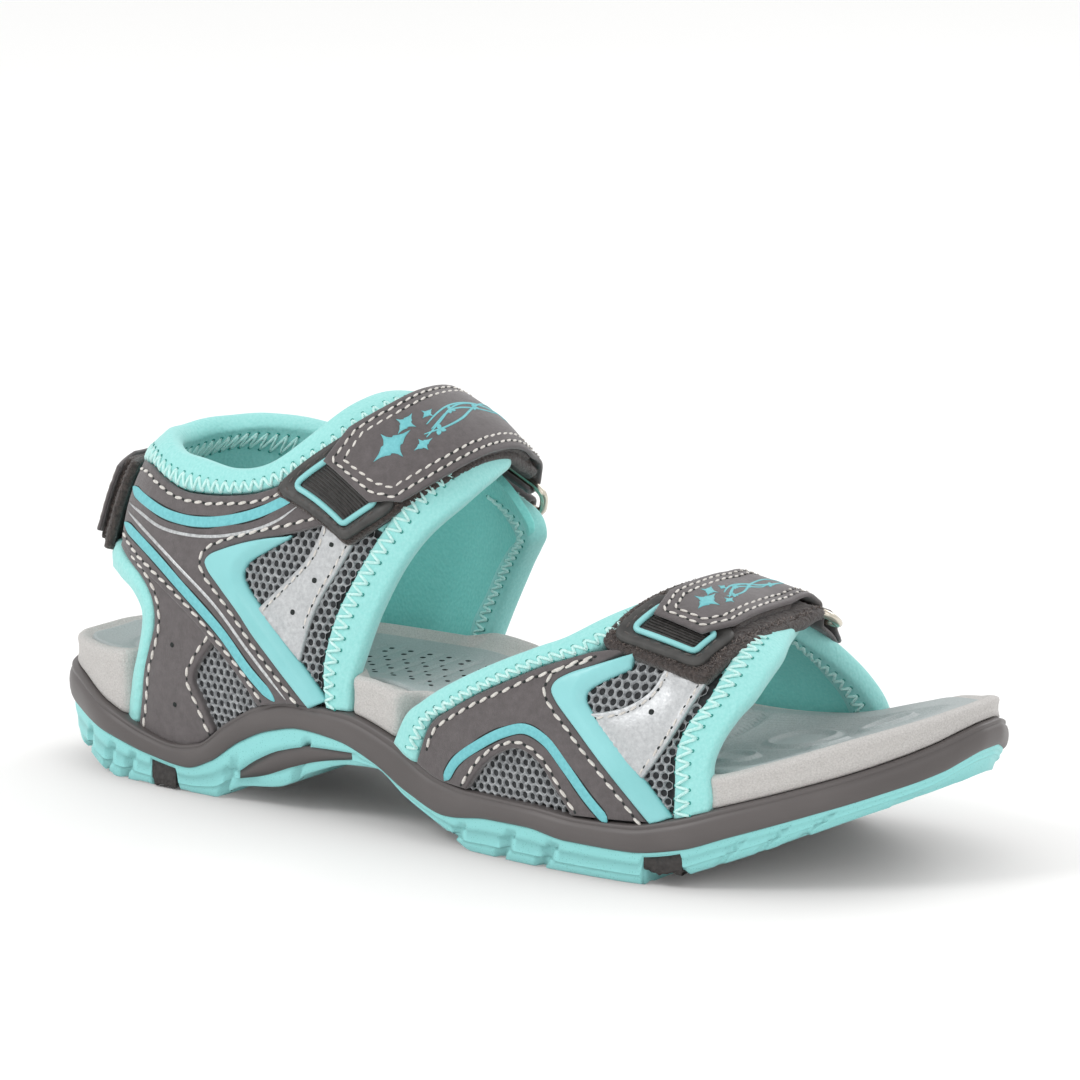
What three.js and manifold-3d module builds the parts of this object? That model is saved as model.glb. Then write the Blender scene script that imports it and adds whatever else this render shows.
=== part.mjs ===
// A strappy sport sandal for the right foot, size EU 39, as a three.js scene graph.
// Millimetres. +X points to the toe, +Y to the big-toe side, +Z up. The outsole stands on z = 0.
//
// The sole is a stack of slabs that share one plan outline. The straps and side panels lie on two
// "lasts", the smooth foot shapes they are made on: one for the heel and instep, one for the forefoot.
// Every soft piece is a thin box bent onto a last, at its own height above it.
import * as THREE from "three";
import Module from "manifold-3d";

const wasm = await Module();
wasm.setup();

// ---------- driving dimensions ----------
const HEEL_X = -131;
const TOE_X = 131;
const GAP = 0.4; // clearance between neighbouring pieces
const PIVOT = { x: -62, z: 8 }; // the rear last is swept about this line, which runs across the foot
// Superellipse exponents: 2 is round, more is squarer
const REAR_ROUND = 2.5;
const VAMP_ROUND = { outer: 2.7, inner: 2.1 };

// Heights of the layers above the last, each [underside, top]
const LINING = [-4.6, -2.6];
const MESH = [-1.8, -1.0];
const BINDING = [-1.8, 0.9];
const OVERLAY = [0, 1.2];
const MOULDING = [0, 1.4];
const PATCH = [1.9, 3.1];
const INLAY = [3.5, 4.2];
const HOOK = [1.0, 3.1];

// Buckle rings, and the straps that fold round their wire
const WIRE_RADIUS = 1.1;
const BAR_HEIGHT = 2.1; // of the wire's centre above the last
const FOLD_RADIUS = 2.1; // of the strap's middle as it goes round the wire
const STRAP_THICKNESS = 1.2;
const RING_LENGTH = 8; // from the strap's bar to the keeper's bar
const RING_POINT = 2; // the ring's strap bar is at this point of a strap's track
const KEEPER_SEAM = [10, 8, 6]; // stations of the keeper's sewn end, from its bar
const RING_CORNER = 3.2;
const RING_MARGIN = 3.5; // the ring is wider than the strap by this on each side
const OPEN_ROOM = 3.6; // clear space the fold turns in as the strap is opened
const BASE = [-0.5, 0.5].map((side) => BAR_HEIGHT - FOLD_RADIUS + side * STRAP_THICKNESS);

const MATERIALS = {
  mint_rubber: { color: 0x74d3c4, roughness: 0.6, metalness: 0 },
  dark_rubber: { color: 0x4b4743, roughness: 0.55, metalness: 0 },
  footbed_foam: { color: 0xc6c2bd, roughness: 0.9, metalness: 0 },
  footbed_cover: { color: 0x9aa5a4, roughness: 0.75, metalness: 0 },
  board: { color: 0x8a7a60, roughness: 0.9, metalness: 0 },
  neoprene: { color: 0x86dcd0, roughness: 0.85, metalness: 0 },
  air_mesh: { color: 0x77797c, roughness: 0.8, metalness: 0 },
  nubuck: { color: 0x5d5855, roughness: 0.8, metalness: 0 },
  silver_leather: { color: 0xc4c6c6, roughness: 0.45, metalness: 0.3 },
  mint_moulding: { color: 0x7fe0d4, roughness: 0.35, metalness: 0 },
  patch_plastic: { color: 0x3c3b3a, roughness: 0.5, metalness: 0 },
  hook_and_loop: { color: 0x3a3432, roughness: 0.95, metalness: 0 },
  webbing: { color: 0x45403d, roughness: 0.9, metalness: 0 },
  ring_steel: { color: 0xc9c2b4, roughness: 0.25, metalness: 1 },
};
const shades = Object.fromEntries(
  Object.entries(MATERIALS).map(([name, values]) => [name, new THREE.MeshStandardMaterial(values)]),
);

// ---------- small tools ----------
const { lerp, degToRad } = THREE.MathUtils;
const vec = (x, y, z) => new THREE.Vector3(x, y, z);

// A smooth curve through [x, y] knots that doesn't overshoot between them (monotone cubic).
function profile(...knots) {
  const xs = knots.map((k) => k[0]);
  const ys = knots.map((k) => k[1]);
  const last = xs.length - 1;
  const rise = xs.slice(1).map((x, i) => (ys[i + 1] - ys[i]) / (x - xs[i]));
  const slope = ys.map((_, i) => {
    if (i === 0) return rise[0];
    if (i === last) return rise[last - 1];
    const [a, b] = [rise[i - 1], rise[i]];
    return a * b <= 0 ? 0 : (2 * a * b) / (a + b);
  });
  return (x) => {
    const at = THREE.MathUtils.clamp(x, xs[0], xs[last]);
    let i = 0;
    while (i < last - 1 && at > xs[i + 1]) i++;
    const h = xs[i + 1] - xs[i];
    const t = (at - xs[i]) / h;
    const [t2, t3] = [t * t, t * t * t];
    return (
      (2 * t3 - 3 * t2 + 1) * ys[i] +
      (t3 - 2 * t2 + t) * h * slope[i] +
      (3 * t2 - 2 * t3) * ys[i + 1] +
      (t3 - t2) * h * slope[i + 1]
    );
  };
}

// Turns a geometry's triangles round if they face inwards.
function facingOut(geometry) {
  const p = geometry.getAttribute("position");
  const index = geometry.index.array;
  const [a, b, c] = [vec(), vec(), vec()];
  let volume = 0;
  for (let i = 0; i < index.length; i += 3) {
    a.fromBufferAttribute(p, index[i]);
    b.fromBufferAttribute(p, index[i + 1]);
    c.fromBufferAttribute(p, index[i + 2]);
    volume += a.dot(b.cross(c));
  }
  if (volume < 0) {
    for (let i = 0; i < index.length; i += 3) {
      [index[i + 1], index[i + 2]] = [index[i + 2], index[i + 1]];
    }
  }
  return geometry;
}

// A box of nu by nv by nw cells, bent by place(u, v, w), each of which runs from 0 to 1.
function bentBox(nu, nv, nw, place) {
  const geometry = new THREE.BoxGeometry(1, 1, 1, nu, nv, nw);
  const p = geometry.getAttribute("position");
  for (let i = 0; i < p.count; i++) {
    const to = place(p.getX(i) + 0.5, p.getY(i) + 0.5, p.getZ(i) + 0.5);
    p.setXYZ(i, to.x, to.y, to.z);
  }
  return facingOut(geometry);
}

// A closed geometry as a manifold solid, and back, for cutting.
function solid(geometry) {
  const p = geometry.getAttribute("position");
  const seen = new Map();
  const vertices = [];
  const at = [];
  for (let i = 0; i < p.count; i++) {
    const place = [p.getX(i), p.getY(i), p.getZ(i)];
    const key = place.map((x) => Math.round(x * 1e3)).join();
    if (!seen.has(key)) {
      seen.set(key, seen.size);
      vertices.push(...place);
    }
    at.push(seen.get(key));
  }
  const triVerts = Uint32Array.from(geometry.index.array, (i) => at[i]);
  return new wasm.Manifold(
    new wasm.Mesh({ numProp: 3, vertProperties: Float32Array.from(vertices), triVerts }),
  );
}

function geometryOf(manifold) {
  const mesh = manifold.getMesh();
  return new THREE.BufferGeometry()
    .setAttribute("position", new THREE.BufferAttribute(mesh.vertProperties, 3))
    .setIndex(new THREE.BufferAttribute(mesh.triVerts, 1));
}

// ---------- sole outline and heights ----------
const outerEdge = profile(
  [-131, -9], [-128, -15], [-122, -21], [-105, -30], [-70, -34], [-30, -37.5], [5, -42], [40, -47],
  [60, -47.5], [75, -45.5], [90, -40], [110, -27], [122, -14], [128, -5], [131, 4],
);
const innerEdge = profile(
  [-131, 9], [-128, 15], [-120, 22], [-108, 28], [-90, 31.5], [-50, 29], [-15, 28.5], [20, 34.5],
  [50, 42.5], [78, 45], [105, 40.5], [119, 31.5], [127, 22.5], [131, 13],
);
const groundZ = profile(
  [-131, 6.5], [-118, 3.5], [-104, 0], [-70, 0], [-61, 4], [-48, 6], [-38, 11], [-25, 15], [-16, 15.5],
  [-6, 9.5], [6, 4], [15, 0], [68, 0], [80, 4.5], [96, 11], [112, 18], [126, 24], [131, 28],
);
const bandLowZ = profile(
  [-131, 16.5], [-123, 15.4], [-105, 11.4], [-90, 8.2], [-78, 6.8], [-70, 9.5], [-60, 16], [-50, 20.3],
  [-40, 22.2], [-28, 21.2], [-16, 17.5], [-5, 12], [8, 8], [22, 9.6], [34, 9.8], [46, 8.2], [64, 8],
  [77, 9.8], [88, 13.5], [103, 18.6], [117, 23.6], [127, 28], [131, 31.5],
);
const bandTopZ = profile(
  [-131, 25.5], [-122, 24.4], [-106, 19], [-92, 14.2], [-82, 12.4], [-74, 13.6], [-64, 20.5], [-54, 26],
  [-44, 29], [-26, 28.6], [-10, 24.6], [4, 18], [16, 15.8], [36, 15.4], [50, 14.4], [64, 14.8],
  [75, 17], [86, 20.4], [100, 24.6], [116, 30], [126, 34.6], [131, 38],
);
const footbedRimZ = profile(
  [-131, 32.4], [-110, 33.2], [-80, 35.5], [-50, 38], [-22, 37.8], [2, 33.4], [30, 28.4], [60, 26],
  [83, 27.6], [96, 31], [111, 36], [123, 39.8], [131, 42.6],
);
const dishDepth = profile(
  [-131, 0], [-118, 3.4], [-80, 5], [-30, 5], [30, 3], [80, 2.6], [110, 2], [131, 0],
);
// The side panels pass down outside the footbed, which steps in to leave them room.
const footbedInset = profile(
  [-131, 1.8], [-104, 1.8], [-99.5, 8.6], [-23, 8.6], [-18.5, 1.8], [-13.5, 1.8], [-9, 9.6], [84, 9.6],
  [88.5, 1.8], [131, 1.8],
);

const SOLE_CELLS = 36;
const END_CROWDING = 0.62; // how much closer together the stations stand at heel and toe
const stationX = (u) =>
  lerp(HEEL_X, TOE_X, u - (END_CROWDING * Math.sin(2 * Math.PI * u)) / (2 * Math.PI));

// Where y lies across the sole at x: -1 at the outer edge, 1 at the inner, both moved in by inset(x).
function acrossSole(x, y, inset) {
  const [outer, inner] = [outerEdge(x) + inset(x), innerEdge(x) - inset(x)];
  return (2 * y - outer - inner) / (inner - outer);
}

// A slab of the sole, between two heights z(x, y).
function slab(inset, across, lowZ, highZ, ends = 0) {
  return bentBox(SOLE_CELLS, across, 1, (u, v, w) => {
    const full = stationX(u);
    const x = lerp(HEEL_X + ends, TOE_X - ends, (full - HEEL_X) / (TOE_X - HEEL_X));
    const y = lerp(outerEdge(x) + inset(x), innerEdge(x) - inset(x), v);
    return vec(x, y, w ? highZ(x, y) : lowZ(x, y));
  });
}

const footbedTopZ = (x, y) =>
  footbedRimZ(x) - dishDepth(x) * (1 - Math.abs(acrossSole(x, y, footbedInset)) ** 3);

// ---------- the two lasts ----------
const rearReach = profile(
  [0, 78], [30, 87], [50, 94.5], [62, 98.5], [72, 98.5], [84, 97], [98, 95], [110, 91.5], [122, 85],
  [134, 75.5], [148, 66], [160, 60.5], [180, 58],
);
const rearOuterHalf = profile([0, 40], [25, 38.5], [60, 36], [90, 34], [120, 32.5], [160, 31.5], [180, 31]);
const rearInnerHalf = profile(
  [0, 30], [30, 31], [50, 36.5], [62, 38], [75, 37], [95, 33.5], [115, 32], [180, 31],
);
const vampCentre = profile([-20, -5], [0, -5], [20, -4], [40, -2.5], [60, -1], [80, 1], [95, 3]);
const vampHalf = profile([-20, 34], [0, 36], [20, 39.5], [40, 43], [60, 44.5], [80, 43], [95, 40]);
const vampFoot = profile([-20, 26], [0, 22], [20, 16], [40, 12], [60, 10], [80, 12], [95, 14]);
const vampRise = profile([-20, 64], [0, 61], [20, 58], [40, 55], [60, 51.5], [80, 44], [95, 37]);

// The rear last: in every half-plane through the pivot line, half a superellipse.
const rearLast = {
  local(p) {
    const [dx, dz] = [p.x - PIVOT.x, p.z - PIVOT.z];
    const angle = THREE.MathUtils.radToDeg(Math.atan2(dz, dx));
    const half = (p.y < 0 ? rearOuterHalf : rearInnerHalf)(angle);
    return { along: Math.hypot(dx, dz) / rearReach(angle), over: Math.abs(p.y) / half };
  },
  level(p) {
    const { along, over } = this.local(p);
    return (along ** REAR_ROUND + over ** REAR_ROUND) ** (1 / REAR_ROUND);
  },
  project(p) {
    const k = 1 / this.level(p);
    return vec(PIVOT.x + (p.x - PIVOT.x) * k, p.y * k, PIVOT.z + (p.z - PIVOT.z) * k);
  },
  // A point seen from the side: outer side -1, inner side 1
  side(x, z, hand) {
    const { along } = this.local(vec(x, hand, z));
    const angle = THREE.MathUtils.radToDeg(Math.atan2(z - PIVOT.z, x - PIVOT.x));
    const half = (hand < 0 ? rearOuterHalf : rearInnerHalf)(angle);
    const rest = Math.max(0, 1 - Math.min(1, along) ** REAR_ROUND);
    return vec(x, hand * half * rest ** (1 / REAR_ROUND), z);
  },
  // A point by its angle about the pivot and its angle over the foot, 0 on the ridge, in degrees
  over(angle, lean) {
    const [c, s] = [Math.cos(degToRad(lean)), Math.sin(degToRad(lean))];
    const half = (lean < 0 ? rearOuterHalf : rearInnerHalf)(angle);
    const reach = rearReach(angle) * Math.abs(c) ** (2 / REAR_ROUND);
    const y = half * Math.sign(s) * Math.abs(s) ** (2 / REAR_ROUND);
    return vec(PIVOT.x + reach * Math.cos(degToRad(angle)), y, PIVOT.z + reach * Math.sin(degToRad(angle)));
  },
};

// The vamp last: at every x, half a superellipse across the forefoot.
const vampLast = {
  level(p) {
    const across = Math.abs(p.y - vampCentre(p.x)) / vampHalf(p.x);
    const up = Math.max(0, p.z - vampFoot(p.x)) / vampRise(p.x);
    const round = p.y < vampCentre(p.x) ? VAMP_ROUND.outer : VAMP_ROUND.inner;
    return (across ** round + up ** round) ** (1 / round);
  },
  project(p) {
    const k = 1 / this.level(p);
    const [y0, z0] = [vampCentre(p.x), vampFoot(p.x)];
    return vec(p.x, y0 + (p.y - y0) * k, z0 + (p.z - z0) * k);
  },
  side(x, z, hand) {
    const up = Math.min(1, Math.max(0, z - vampFoot(x)) / vampRise(x));
    const round = hand < 0 ? VAMP_ROUND.outer : VAMP_ROUND.inner;
    return vec(x, vampCentre(x) + hand * vampHalf(x) * (1 - up ** round) ** (1 / round), z);
  },
  // A point by its place along the foot and its angle over it, 0 at the outer side, 90 on the ridge
  over(x, angle) {
    const [c, s] = [Math.cos(degToRad(angle)), Math.sin(degToRad(angle))];
    const round = c > 0 ? VAMP_ROUND.outer : VAMP_ROUND.inner;
    const y = vampCentre(x) - vampHalf(x) * Math.sign(c) * Math.abs(c) ** (2 / round);
    return vec(x, y, vampFoot(x) + vampRise(x) * Math.max(0, s) ** (2 / round));
  },
};

function normalAt(last, p) {
  const step = 0.5;
  const slope = (dx, dy, dz) =>
    last.level(vec(p.x + dx, p.y + dy, p.z + dz)) - last.level(vec(p.x - dx, p.y - dy, p.z - dz));
  return vec(slope(step, 0, 0), slope(0, step, 0), slope(0, 0, step)).normalize();
}

const raised = (last, p, height) => p.clone().addScaledVector(normalAt(last, p), height);

const smooth = (points) => new THREE.CatmullRomCurve3(points, false, "centripetal");

// A panel on a last, at heights [low, high] above it, that fills the space between four edges: bottom
// and top run one way, start and end the other. Without a start and an end it is ruled straight across.
function panel(last, [low, high], [along, across], bottom, top, start, end) {
  const [b, t] = [smooth(bottom), smooth(top)];
  const corner = [b.getPointAt(0), b.getPointAt(1), t.getPointAt(0), t.getPointAt(1)];
  const s = smooth(start ?? [corner[0], corner[2]]);
  const e = smooth(end ?? [corner[1], corner[3]]);
  return bentBox(along, across, 1, (u, v, w) => {
    const ruled = b.getPointAt(u).lerp(t.getPointAt(u), v);
    const ends = s.getPointAt(v).lerp(e.getPointAt(v), u);
    const low4 = corner[0].clone().lerp(corner[1], u).lerp(corner[2].clone().lerp(corner[3], u), v);
    return raised(last, last.project(ruled.add(ends).sub(low4)), w ? high : low);
  });
}

// ---------- straps, rings and their folds ----------
// A strap's track over a last. Along it, s is 0 at the ring's strap bar, positive toward the strap's far
// end and negative toward the keeper; t is across it, and n is the height above the last and any lift.
// Round the ring it is a flat frame, so that the wire is straight.
function makeTrack(last, points, lift) {
  const NEAR = 4; // the frame starts to bend this far from the ring, and follows the last from FAR
  const FAR = 14;
  const SAMPLES = 60; // of the curve's length, between two of its points
  const line = smooth(points.map((p) => last.project(p)));
  line.arcLengthDivisions = SAMPLES * (points.length - 1);
  const start = -line.getLengths()[SAMPLES * RING_POINT];
  const frameAt = (s) => {
    const u = THREE.MathUtils.clamp((s - start) / line.getLength(), 0, 1);
    const origin = last.project(line.getPointAt(u));
    const up = normalAt(last, origin);
    const across = up.clone().cross(line.getTangentAt(u)).normalize();
    return { origin, across, up, along: across.clone().cross(up) };
  };
  const middle = -RING_LENGTH / 2;
  const ring = frameAt(middle);
  const flat = (s, t, n) =>
    ring.origin
      .clone()
      .addScaledVector(ring.along, s - middle)
      .addScaledVector(ring.across, t)
      .addScaledVector(ring.up, n + lift);
  const bent = (s, t, n) => {
    const f = frameAt(s);
    return raised(last, last.project(f.origin.addScaledVector(f.across, t)), n + lift);
  };
  const beyond = (s) => Math.max(s, -RING_LENGTH - s);
  return {
    at: (s, t, n) => flat(s, t, n).lerp(bent(s, t, n), THREE.MathUtils.smoothstep(beyond(s), NEAR, FAR)),
  };
}

const STEP = 5.5; // the longest step along a strap
const steps = (length) => Math.ceil(length / STEP);

// A flat band along a track from s0 to s1. Its ends can be cut at a slant, by so much s for each t.
const band = (track, [s0, s1], half, [low, high], [slant0, slant1] = [0, 0]) =>
  bentBox(steps(s1 - s0), 2, 1, (u, v, w) => {
    const t = (2 * v - 1) * half;
    return track.at(lerp(s0 + slant0 * t, s1 + slant1 * t, u), t, w ? high : low);
  });

// A strip whose middle follows stations [s, n] along a track. Its last end narrows to tip of its width
// and is cut at a slant.
function strip(track, stations, half, tip = 1, slant = 0) {
  const last = stations.length - 1;
  const NARROWS = 1.5; // stations over which it narrows
  const SLANTS = 2; // stations over which the slant builds up
  return bentBox(last, 2, 1, (u, v, w) => {
    const i = Math.round(u * last);
    const [a, b] = [stations[Math.max(0, i - 1)], stations[Math.min(last, i + 1)]];
    const d = Math.hypot(b[0] - a[0], b[1] - a[1]);
    const side = (w - 0.5) * STRAP_THICKNESS;
    const s = stations[i][0] - ((b[1] - a[1]) / d) * side;
    const n = stations[i][1] + ((b[0] - a[0]) / d) * side;
    const t = (2 * v - 1) * half * lerp(tip, 1, Math.min(1, (last - i) / NARROWS));
    return track.at(s + slant * t * Math.max(0, 1 - (last - i) / SLANTS), t, n);
  });
}

// Stations round a bar at s, from under it to over it, passing on its far side as seen from facing.
function fold(s, facing) {
  const STEPS = 6;
  return Array.from({ length: STEPS + 1 }, (_, i) => {
    const turn = (Math.PI * i) / STEPS;
    return [s - facing * FOLD_RADIUS * Math.sin(turn), BAR_HEIGHT - FOLD_RADIUS * Math.cos(turn)];
  });
}

// The part of a strap that comes from its ring and closes over the foot.
function flap(track, length, half, tip, slant) {
  const count = steps(length);
  const n = BAR_HEIGHT + FOLD_RADIUS;
  const run = Array.from({ length: count }, (_, i) => [(length * (i + 1)) / count, n]);
  return strip(track, [...fold(0, 1), ...run], half, tip, slant);
}

// The loop that holds a ring's far bar: its two ends are sewn together beyond the bar.
function keeper(track, half) {
  const low = BAR_HEIGHT - FOLD_RADIUS;
  const sewn = low + STRAP_THICKNESS + GAP;
  const ends = KEEPER_SEAM.map((reach) => -RING_LENGTH - reach);
  const under = ends.map((s) => [s, low]);
  const over = ends.map((s) => [s, sewn]).reverse();
  over.unshift([-RING_LENGTH - 3.5, lerp(BAR_HEIGHT + FOLD_RADIUS, sewn, 0.4)]);
  return strip(track, [...under, ...fold(-RING_LENGTH, -1), ...over], half);
}

// A rectangular ring of wire, whose bar for the strap is at s = 0.
function wireRing(track, half) {
  const [SIDES, AROUND] = [6, 24];
  const [right, top] = [-RING_CORNER, half - RING_CORNER];
  const left = RING_CORNER - RING_LENGTH;
  const path = new THREE.Path();
  path.absarc(right, top, RING_CORNER, 0, Math.PI / 2);
  path.absarc(left, top, RING_CORNER, Math.PI / 2, Math.PI);
  path.absarc(left, -top, RING_CORNER, Math.PI, Math.PI * 1.5);
  path.absarc(right, -top, RING_CORNER, Math.PI * 1.5, Math.PI * 2);
  path.closePath();
  const geometry = new THREE.TorusGeometry(1, 0.5, SIDES, AROUND);
  const p = geometry.getAttribute("position");
  for (let i = 0; i < p.count; i++) {
    const u = (i % (AROUND + 1) % AROUND) / AROUND;
    const turn = (2 * Math.PI * (Math.floor(i / (AROUND + 1)) % SIDES)) / SIDES;
    const [c, d] = [path.getPointAt(u), path.getTangentAt(u)];
    const out = WIRE_RADIUS * Math.cos(turn);
    const to = track.at(c.x + d.y * out, c.y - d.x * out, BAR_HEIGHT + WIRE_RADIUS * Math.sin(turn));
    p.setXYZ(i, to.x, to.y, to.z);
  }
  return facingOut(geometry);
}

// ---------- assembly ----------
const sandal = new THREE.Group();

function add(name, material, geometry) {
  const mesh = new THREE.Mesh(geometry, shades[material].clone());
  mesh.name = name;
  sandal.add(mesh);
}

// ---------- sole ----------
const none = () => 0;
const insetBy = (distance) => () => distance;
const SHANK = { x0: -61, x1: -24 };
const shankLow = profile([-61, 6.6], [-53, 8.6], [-43, 12.4], [-34, 15.2], [-24, 17]);
const shankHigh = profile([-61, 8], [-55, 11.8], [-47, 15.4], [-36, 17.9], [-24, 18.4]);
const TREADS = [
  { name: "heel_tread_insert", x0: -90, x1: -82, low: 0.2 },
  { name: "forefoot_tread_insert", x0: 67.5, x1: 77, low: 2.8 },
];

// A slice of the sole between two places along it, wider than the sole by over on each side.
function slice(x0, x1, over, lowZ, highZ, cells) {
  return bentBox(cells, 1, 1, (u, v, w) => {
    const x = lerp(x0, x1, u);
    const y = lerp(outerEdge(x) - over, innerEdge(x) + over, v);
    return vec(x, y, w ? highZ(x) : lowZ(x));
  });
}

function addSole() {
  const CUT_OVER = 4;
  const SHANK_CELLS = 12;
  let outsole = solid(slab(insetBy(0.8), 4, groundZ, (x) => bandLowZ(x) - GAP));
  const slot = slice(
    SHANK.x0 - 1, SHANK.x1 + 1, CUT_OVER, (x) => shankLow(x) - GAP, (x) => shankHigh(x) + GAP, SHANK_CELLS,
  );
  outsole = outsole.subtract(solid(slot));
  for (const { x0, x1 } of TREADS) {
    const roof = (x) => bandLowZ(x) - 2.4;
    outsole = outsole.subtract(solid(slice(x0 - GAP, x1 + GAP, CUT_OVER, () => -5, roof, 2)));
  }
  add("outsole", "mint_rubber", geometryOf(outsole));
  for (const { name, x0, x1, low } of TREADS) {
    const geometry = slice(x0, x1, -2.2, () => low, (x) => bandLowZ(x) - 2.8, 2);
    add(name, "dark_rubber", geometry);
  }
  const shank = slice(SHANK.x0, SHANK.x1, -2.4, shankLow, shankHigh, SHANK_CELLS);
  add("arch_shank", "dark_rubber", shank);

  const BOARD = { depth: 2.8, clearance: 0.8, thickness: 1.3, edge: 0.76, ends: 18, inset: 13 };
  const pocket = (x, y) => {
    const inside = Math.abs(acrossSole(x, y, none)) < BOARD.edge;
    const between = x > HEEL_X + BOARD.ends && x < TOE_X - BOARD.ends;
    return bandTopZ(x) - (inside && between ? BOARD.depth : 0);
  };
  add("midsole", "dark_rubber", slab(none, 8, bandLowZ, pocket));
  const boardZ = (x) => bandTopZ(x) - BOARD.depth + BOARD.clearance;
  const boardTopZ = (x) => boardZ(x) + BOARD.thickness;
  const board = slab(insetBy(BOARD.inset), 2, boardZ, boardTopZ, BOARD.ends + 7);
  add("insole_board", "board", board);
  add("footbed", "footbed_foam", slab(footbedInset, 8, (x) => bandTopZ(x) + GAP, footbedTopZ, 1.2));
  const COVER = { clearance: 0.7, thickness: 1.2, inset: 13.5, ends: 12 };
  const coverLow = (x, y) => footbedTopZ(x, y) + COVER.clearance;
  const coverHigh = (x, y) => coverLow(x, y) + COVER.thickness;
  add("footbed_cover", "footbed_cover", slab(insetBy(COVER.inset), 6, coverLow, coverHigh, COVER.ends));
}

// ---------- rear quarters ----------
const SIDES = [
  { side: "lateral", hand: -1 },
  { side: "medial", hand: 1 },
];
const SEAT = 2; // the side panels end this far above the midsole

function addQuarter({ side, hand }) {
  const at = (...places) => places.map(([x, z]) => rearLast.side(x, z, hand));
  const over = (...places) => places.map(([angle, lean]) => rearLast.over(angle, -hand * lean));
  const foot = (...xs) => xs.map((x) => rearLast.side(x, bandTopZ(x) + SEAT, hand));
  const put = (name, material, heights, cells, ...edges) =>
    add(`${name}_${side}`, material, panel(rearLast, heights, cells, ...edges));

  // The lateral lining runs on over the instep as the strap's tongue; the medial one stops at the ring.
  const collar = over([104, -42], [94, -47], [84, -45], [77, -33]);
  const tongueTop = over([72, -16], [70, -2], [66, 8], [60, 11]);
  const tongueFront = over([52, -17], [53, -3], [55, 7], [60, 11]);
  const lateral = hand < 0;
  const frontEdge = lateral
    ? at([-26, 36], [-24, 44], [-21, 54], [-16.5, 65], [-12, 73])
    : at([-24, 37], [-20, 46], [-14, 56], [-10, 61]);
  const medialTop = at([-6, 66], [-4, 70]);
  const throat = over([70, -36], [62, -34]);
  const bindingInner = lateral
    ? [[-32, 46], [-30, 53], [-26.5, 61], [-22.5, 70]]
    : [[-25.5, 46], [-21, 54], [-17, 59.5]];
  // The arm of the collar's overlay that runs up under the instep strap is shorter at the ring's side.
  const [armLow, armHigh] = lateral
    ? [[[-46, 69.8], [-30, 73]], [[-50, 80.5], [-36, 86]]]
    : [[[-48, 70]], [[-52, 79]]];
  put(
    "quarter_lining", "neoprene", LINING, [16, 12],
    foot(-94, -82, -70, -58, -44, -26),
    [...at([-90.5, 83.5]), ...collar, ...(lateral ? tongueTop : throat)],
    [...foot(-94), ...at([-92.5, 30], [-89, 42], [-89.5, 48], [-90.5, 83.5])],
    [...foot(-26), ...frontEdge, ...(lateral ? tongueFront : [...medialTop, ...over([62, -34])])],
  );
  put(
    "quarter_mesh", "air_mesh", MESH, [9, 8],
    foot(-86, -76, -66, -54, -40, -33), at([-88, 66], [-70, 72], [-50, 76], [-27, 76]),
    [...foot(-86), ...at([-82, 40], [-88, 66])],
    [...foot(-33), ...at([-34, 42], [-31, 56], [-27, 76])],
  );
  put(
    "collar_binding", "neoprene", BINDING, [14, 1],
    [...over([127.5, -2], [121.5, -17]), ...at([-98, 80], [-84, 75.5], [-66, 77], [-49, 82], [-38, 88])],
    [...over([123, -2], [118, -16], [111, -34], [104, -42], [94, -47], [84, -45], [77, -34])],
  );
  put(
    "front_binding", "neoprene", BINDING, [9, 1],
    [...foot(lateral ? -31 : -29), ...at([lateral ? -32.5 : -29, 38], ...bindingInner)],
    [...foot(-26), ...frontEdge],
  );
  put(
    "collar_overlay", "nubuck", OVERLAY, [10, 2],
    at([-103, 66], [-88, 62.5], [-77, 61], [-70, 63.5], [-58, 66.8], ...armLow),
    at([-102, 78.5], [-84, 74.5], [-66, 76], ...armHigh),
  );
  put(
    "diagonal_overlay", "nubuck", OVERLAY, [10, 2],
    at([-106, 60], [-97, 56.5], [-86, 51.5], [-74, 44.5], [-62, 35.5], [-53, 28.5]),
    at([-104.5, 65], [-90, 61], [-76, 57], [-66, 52], [-55, 42.5], [-37.5, 30.5]),
  );
  put(
    "leg_overlay", "nubuck", OVERLAY, [6, 6],
    foot(-94, -88, -80, -70), at([-105, 59], [-92, 53.5], [-80, 47.5], [-71.5, 41.5]),
    [...foot(-94), ...at([-92, 30], [-88.5, 42], [-92, 51], [-105, 59])],
    [...foot(-70), ...at([-75, 29], [-71.5, 41.5])],
  );
  put(
    "chevron", "mint_moulding", MOULDING, [12, 1],
    at([-48, 68.8], [-60, 65.2], [-71.5, 60.2], [-66, 53.3], [-54.5, 42.8], [-37, 31.5]),
    at([-48, 67], [-55, 64], [-60.5, 60], [-58.5, 56], [-48, 46], [-32, 33]),
  );
  if (lateral) {
    put(
      "silver_panel", "silver_leather", MOULDING, [5, 2],
      at([-54, 52.5], [-47, 58.5], [-41, 64], [-38, 69.5]),
      at([-40.5, 42], [-37, 50], [-34, 57], [-31, 67.5]),
    );
  }
}

function addHeelLining() {
  const side = (hand, ...places) => places.map(([x, z]) => rearLast.side(x, z, hand));
  const low = [[-91.5, 49], [-100, 54], [-110, 53]];
  const high = [[-91.5, 83.5], [-99, 83], [-106, 82.6]];
  const round = (places, angle) => [
    ...side(-1, ...places), rearLast.over(angle, 0), ...side(1, ...[...places].reverse()),
  ];
  add("heel_lining", "neoprene", panel(rearLast, LINING, [18, 5], round(low, 143), round(high, 124)));
}

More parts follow.
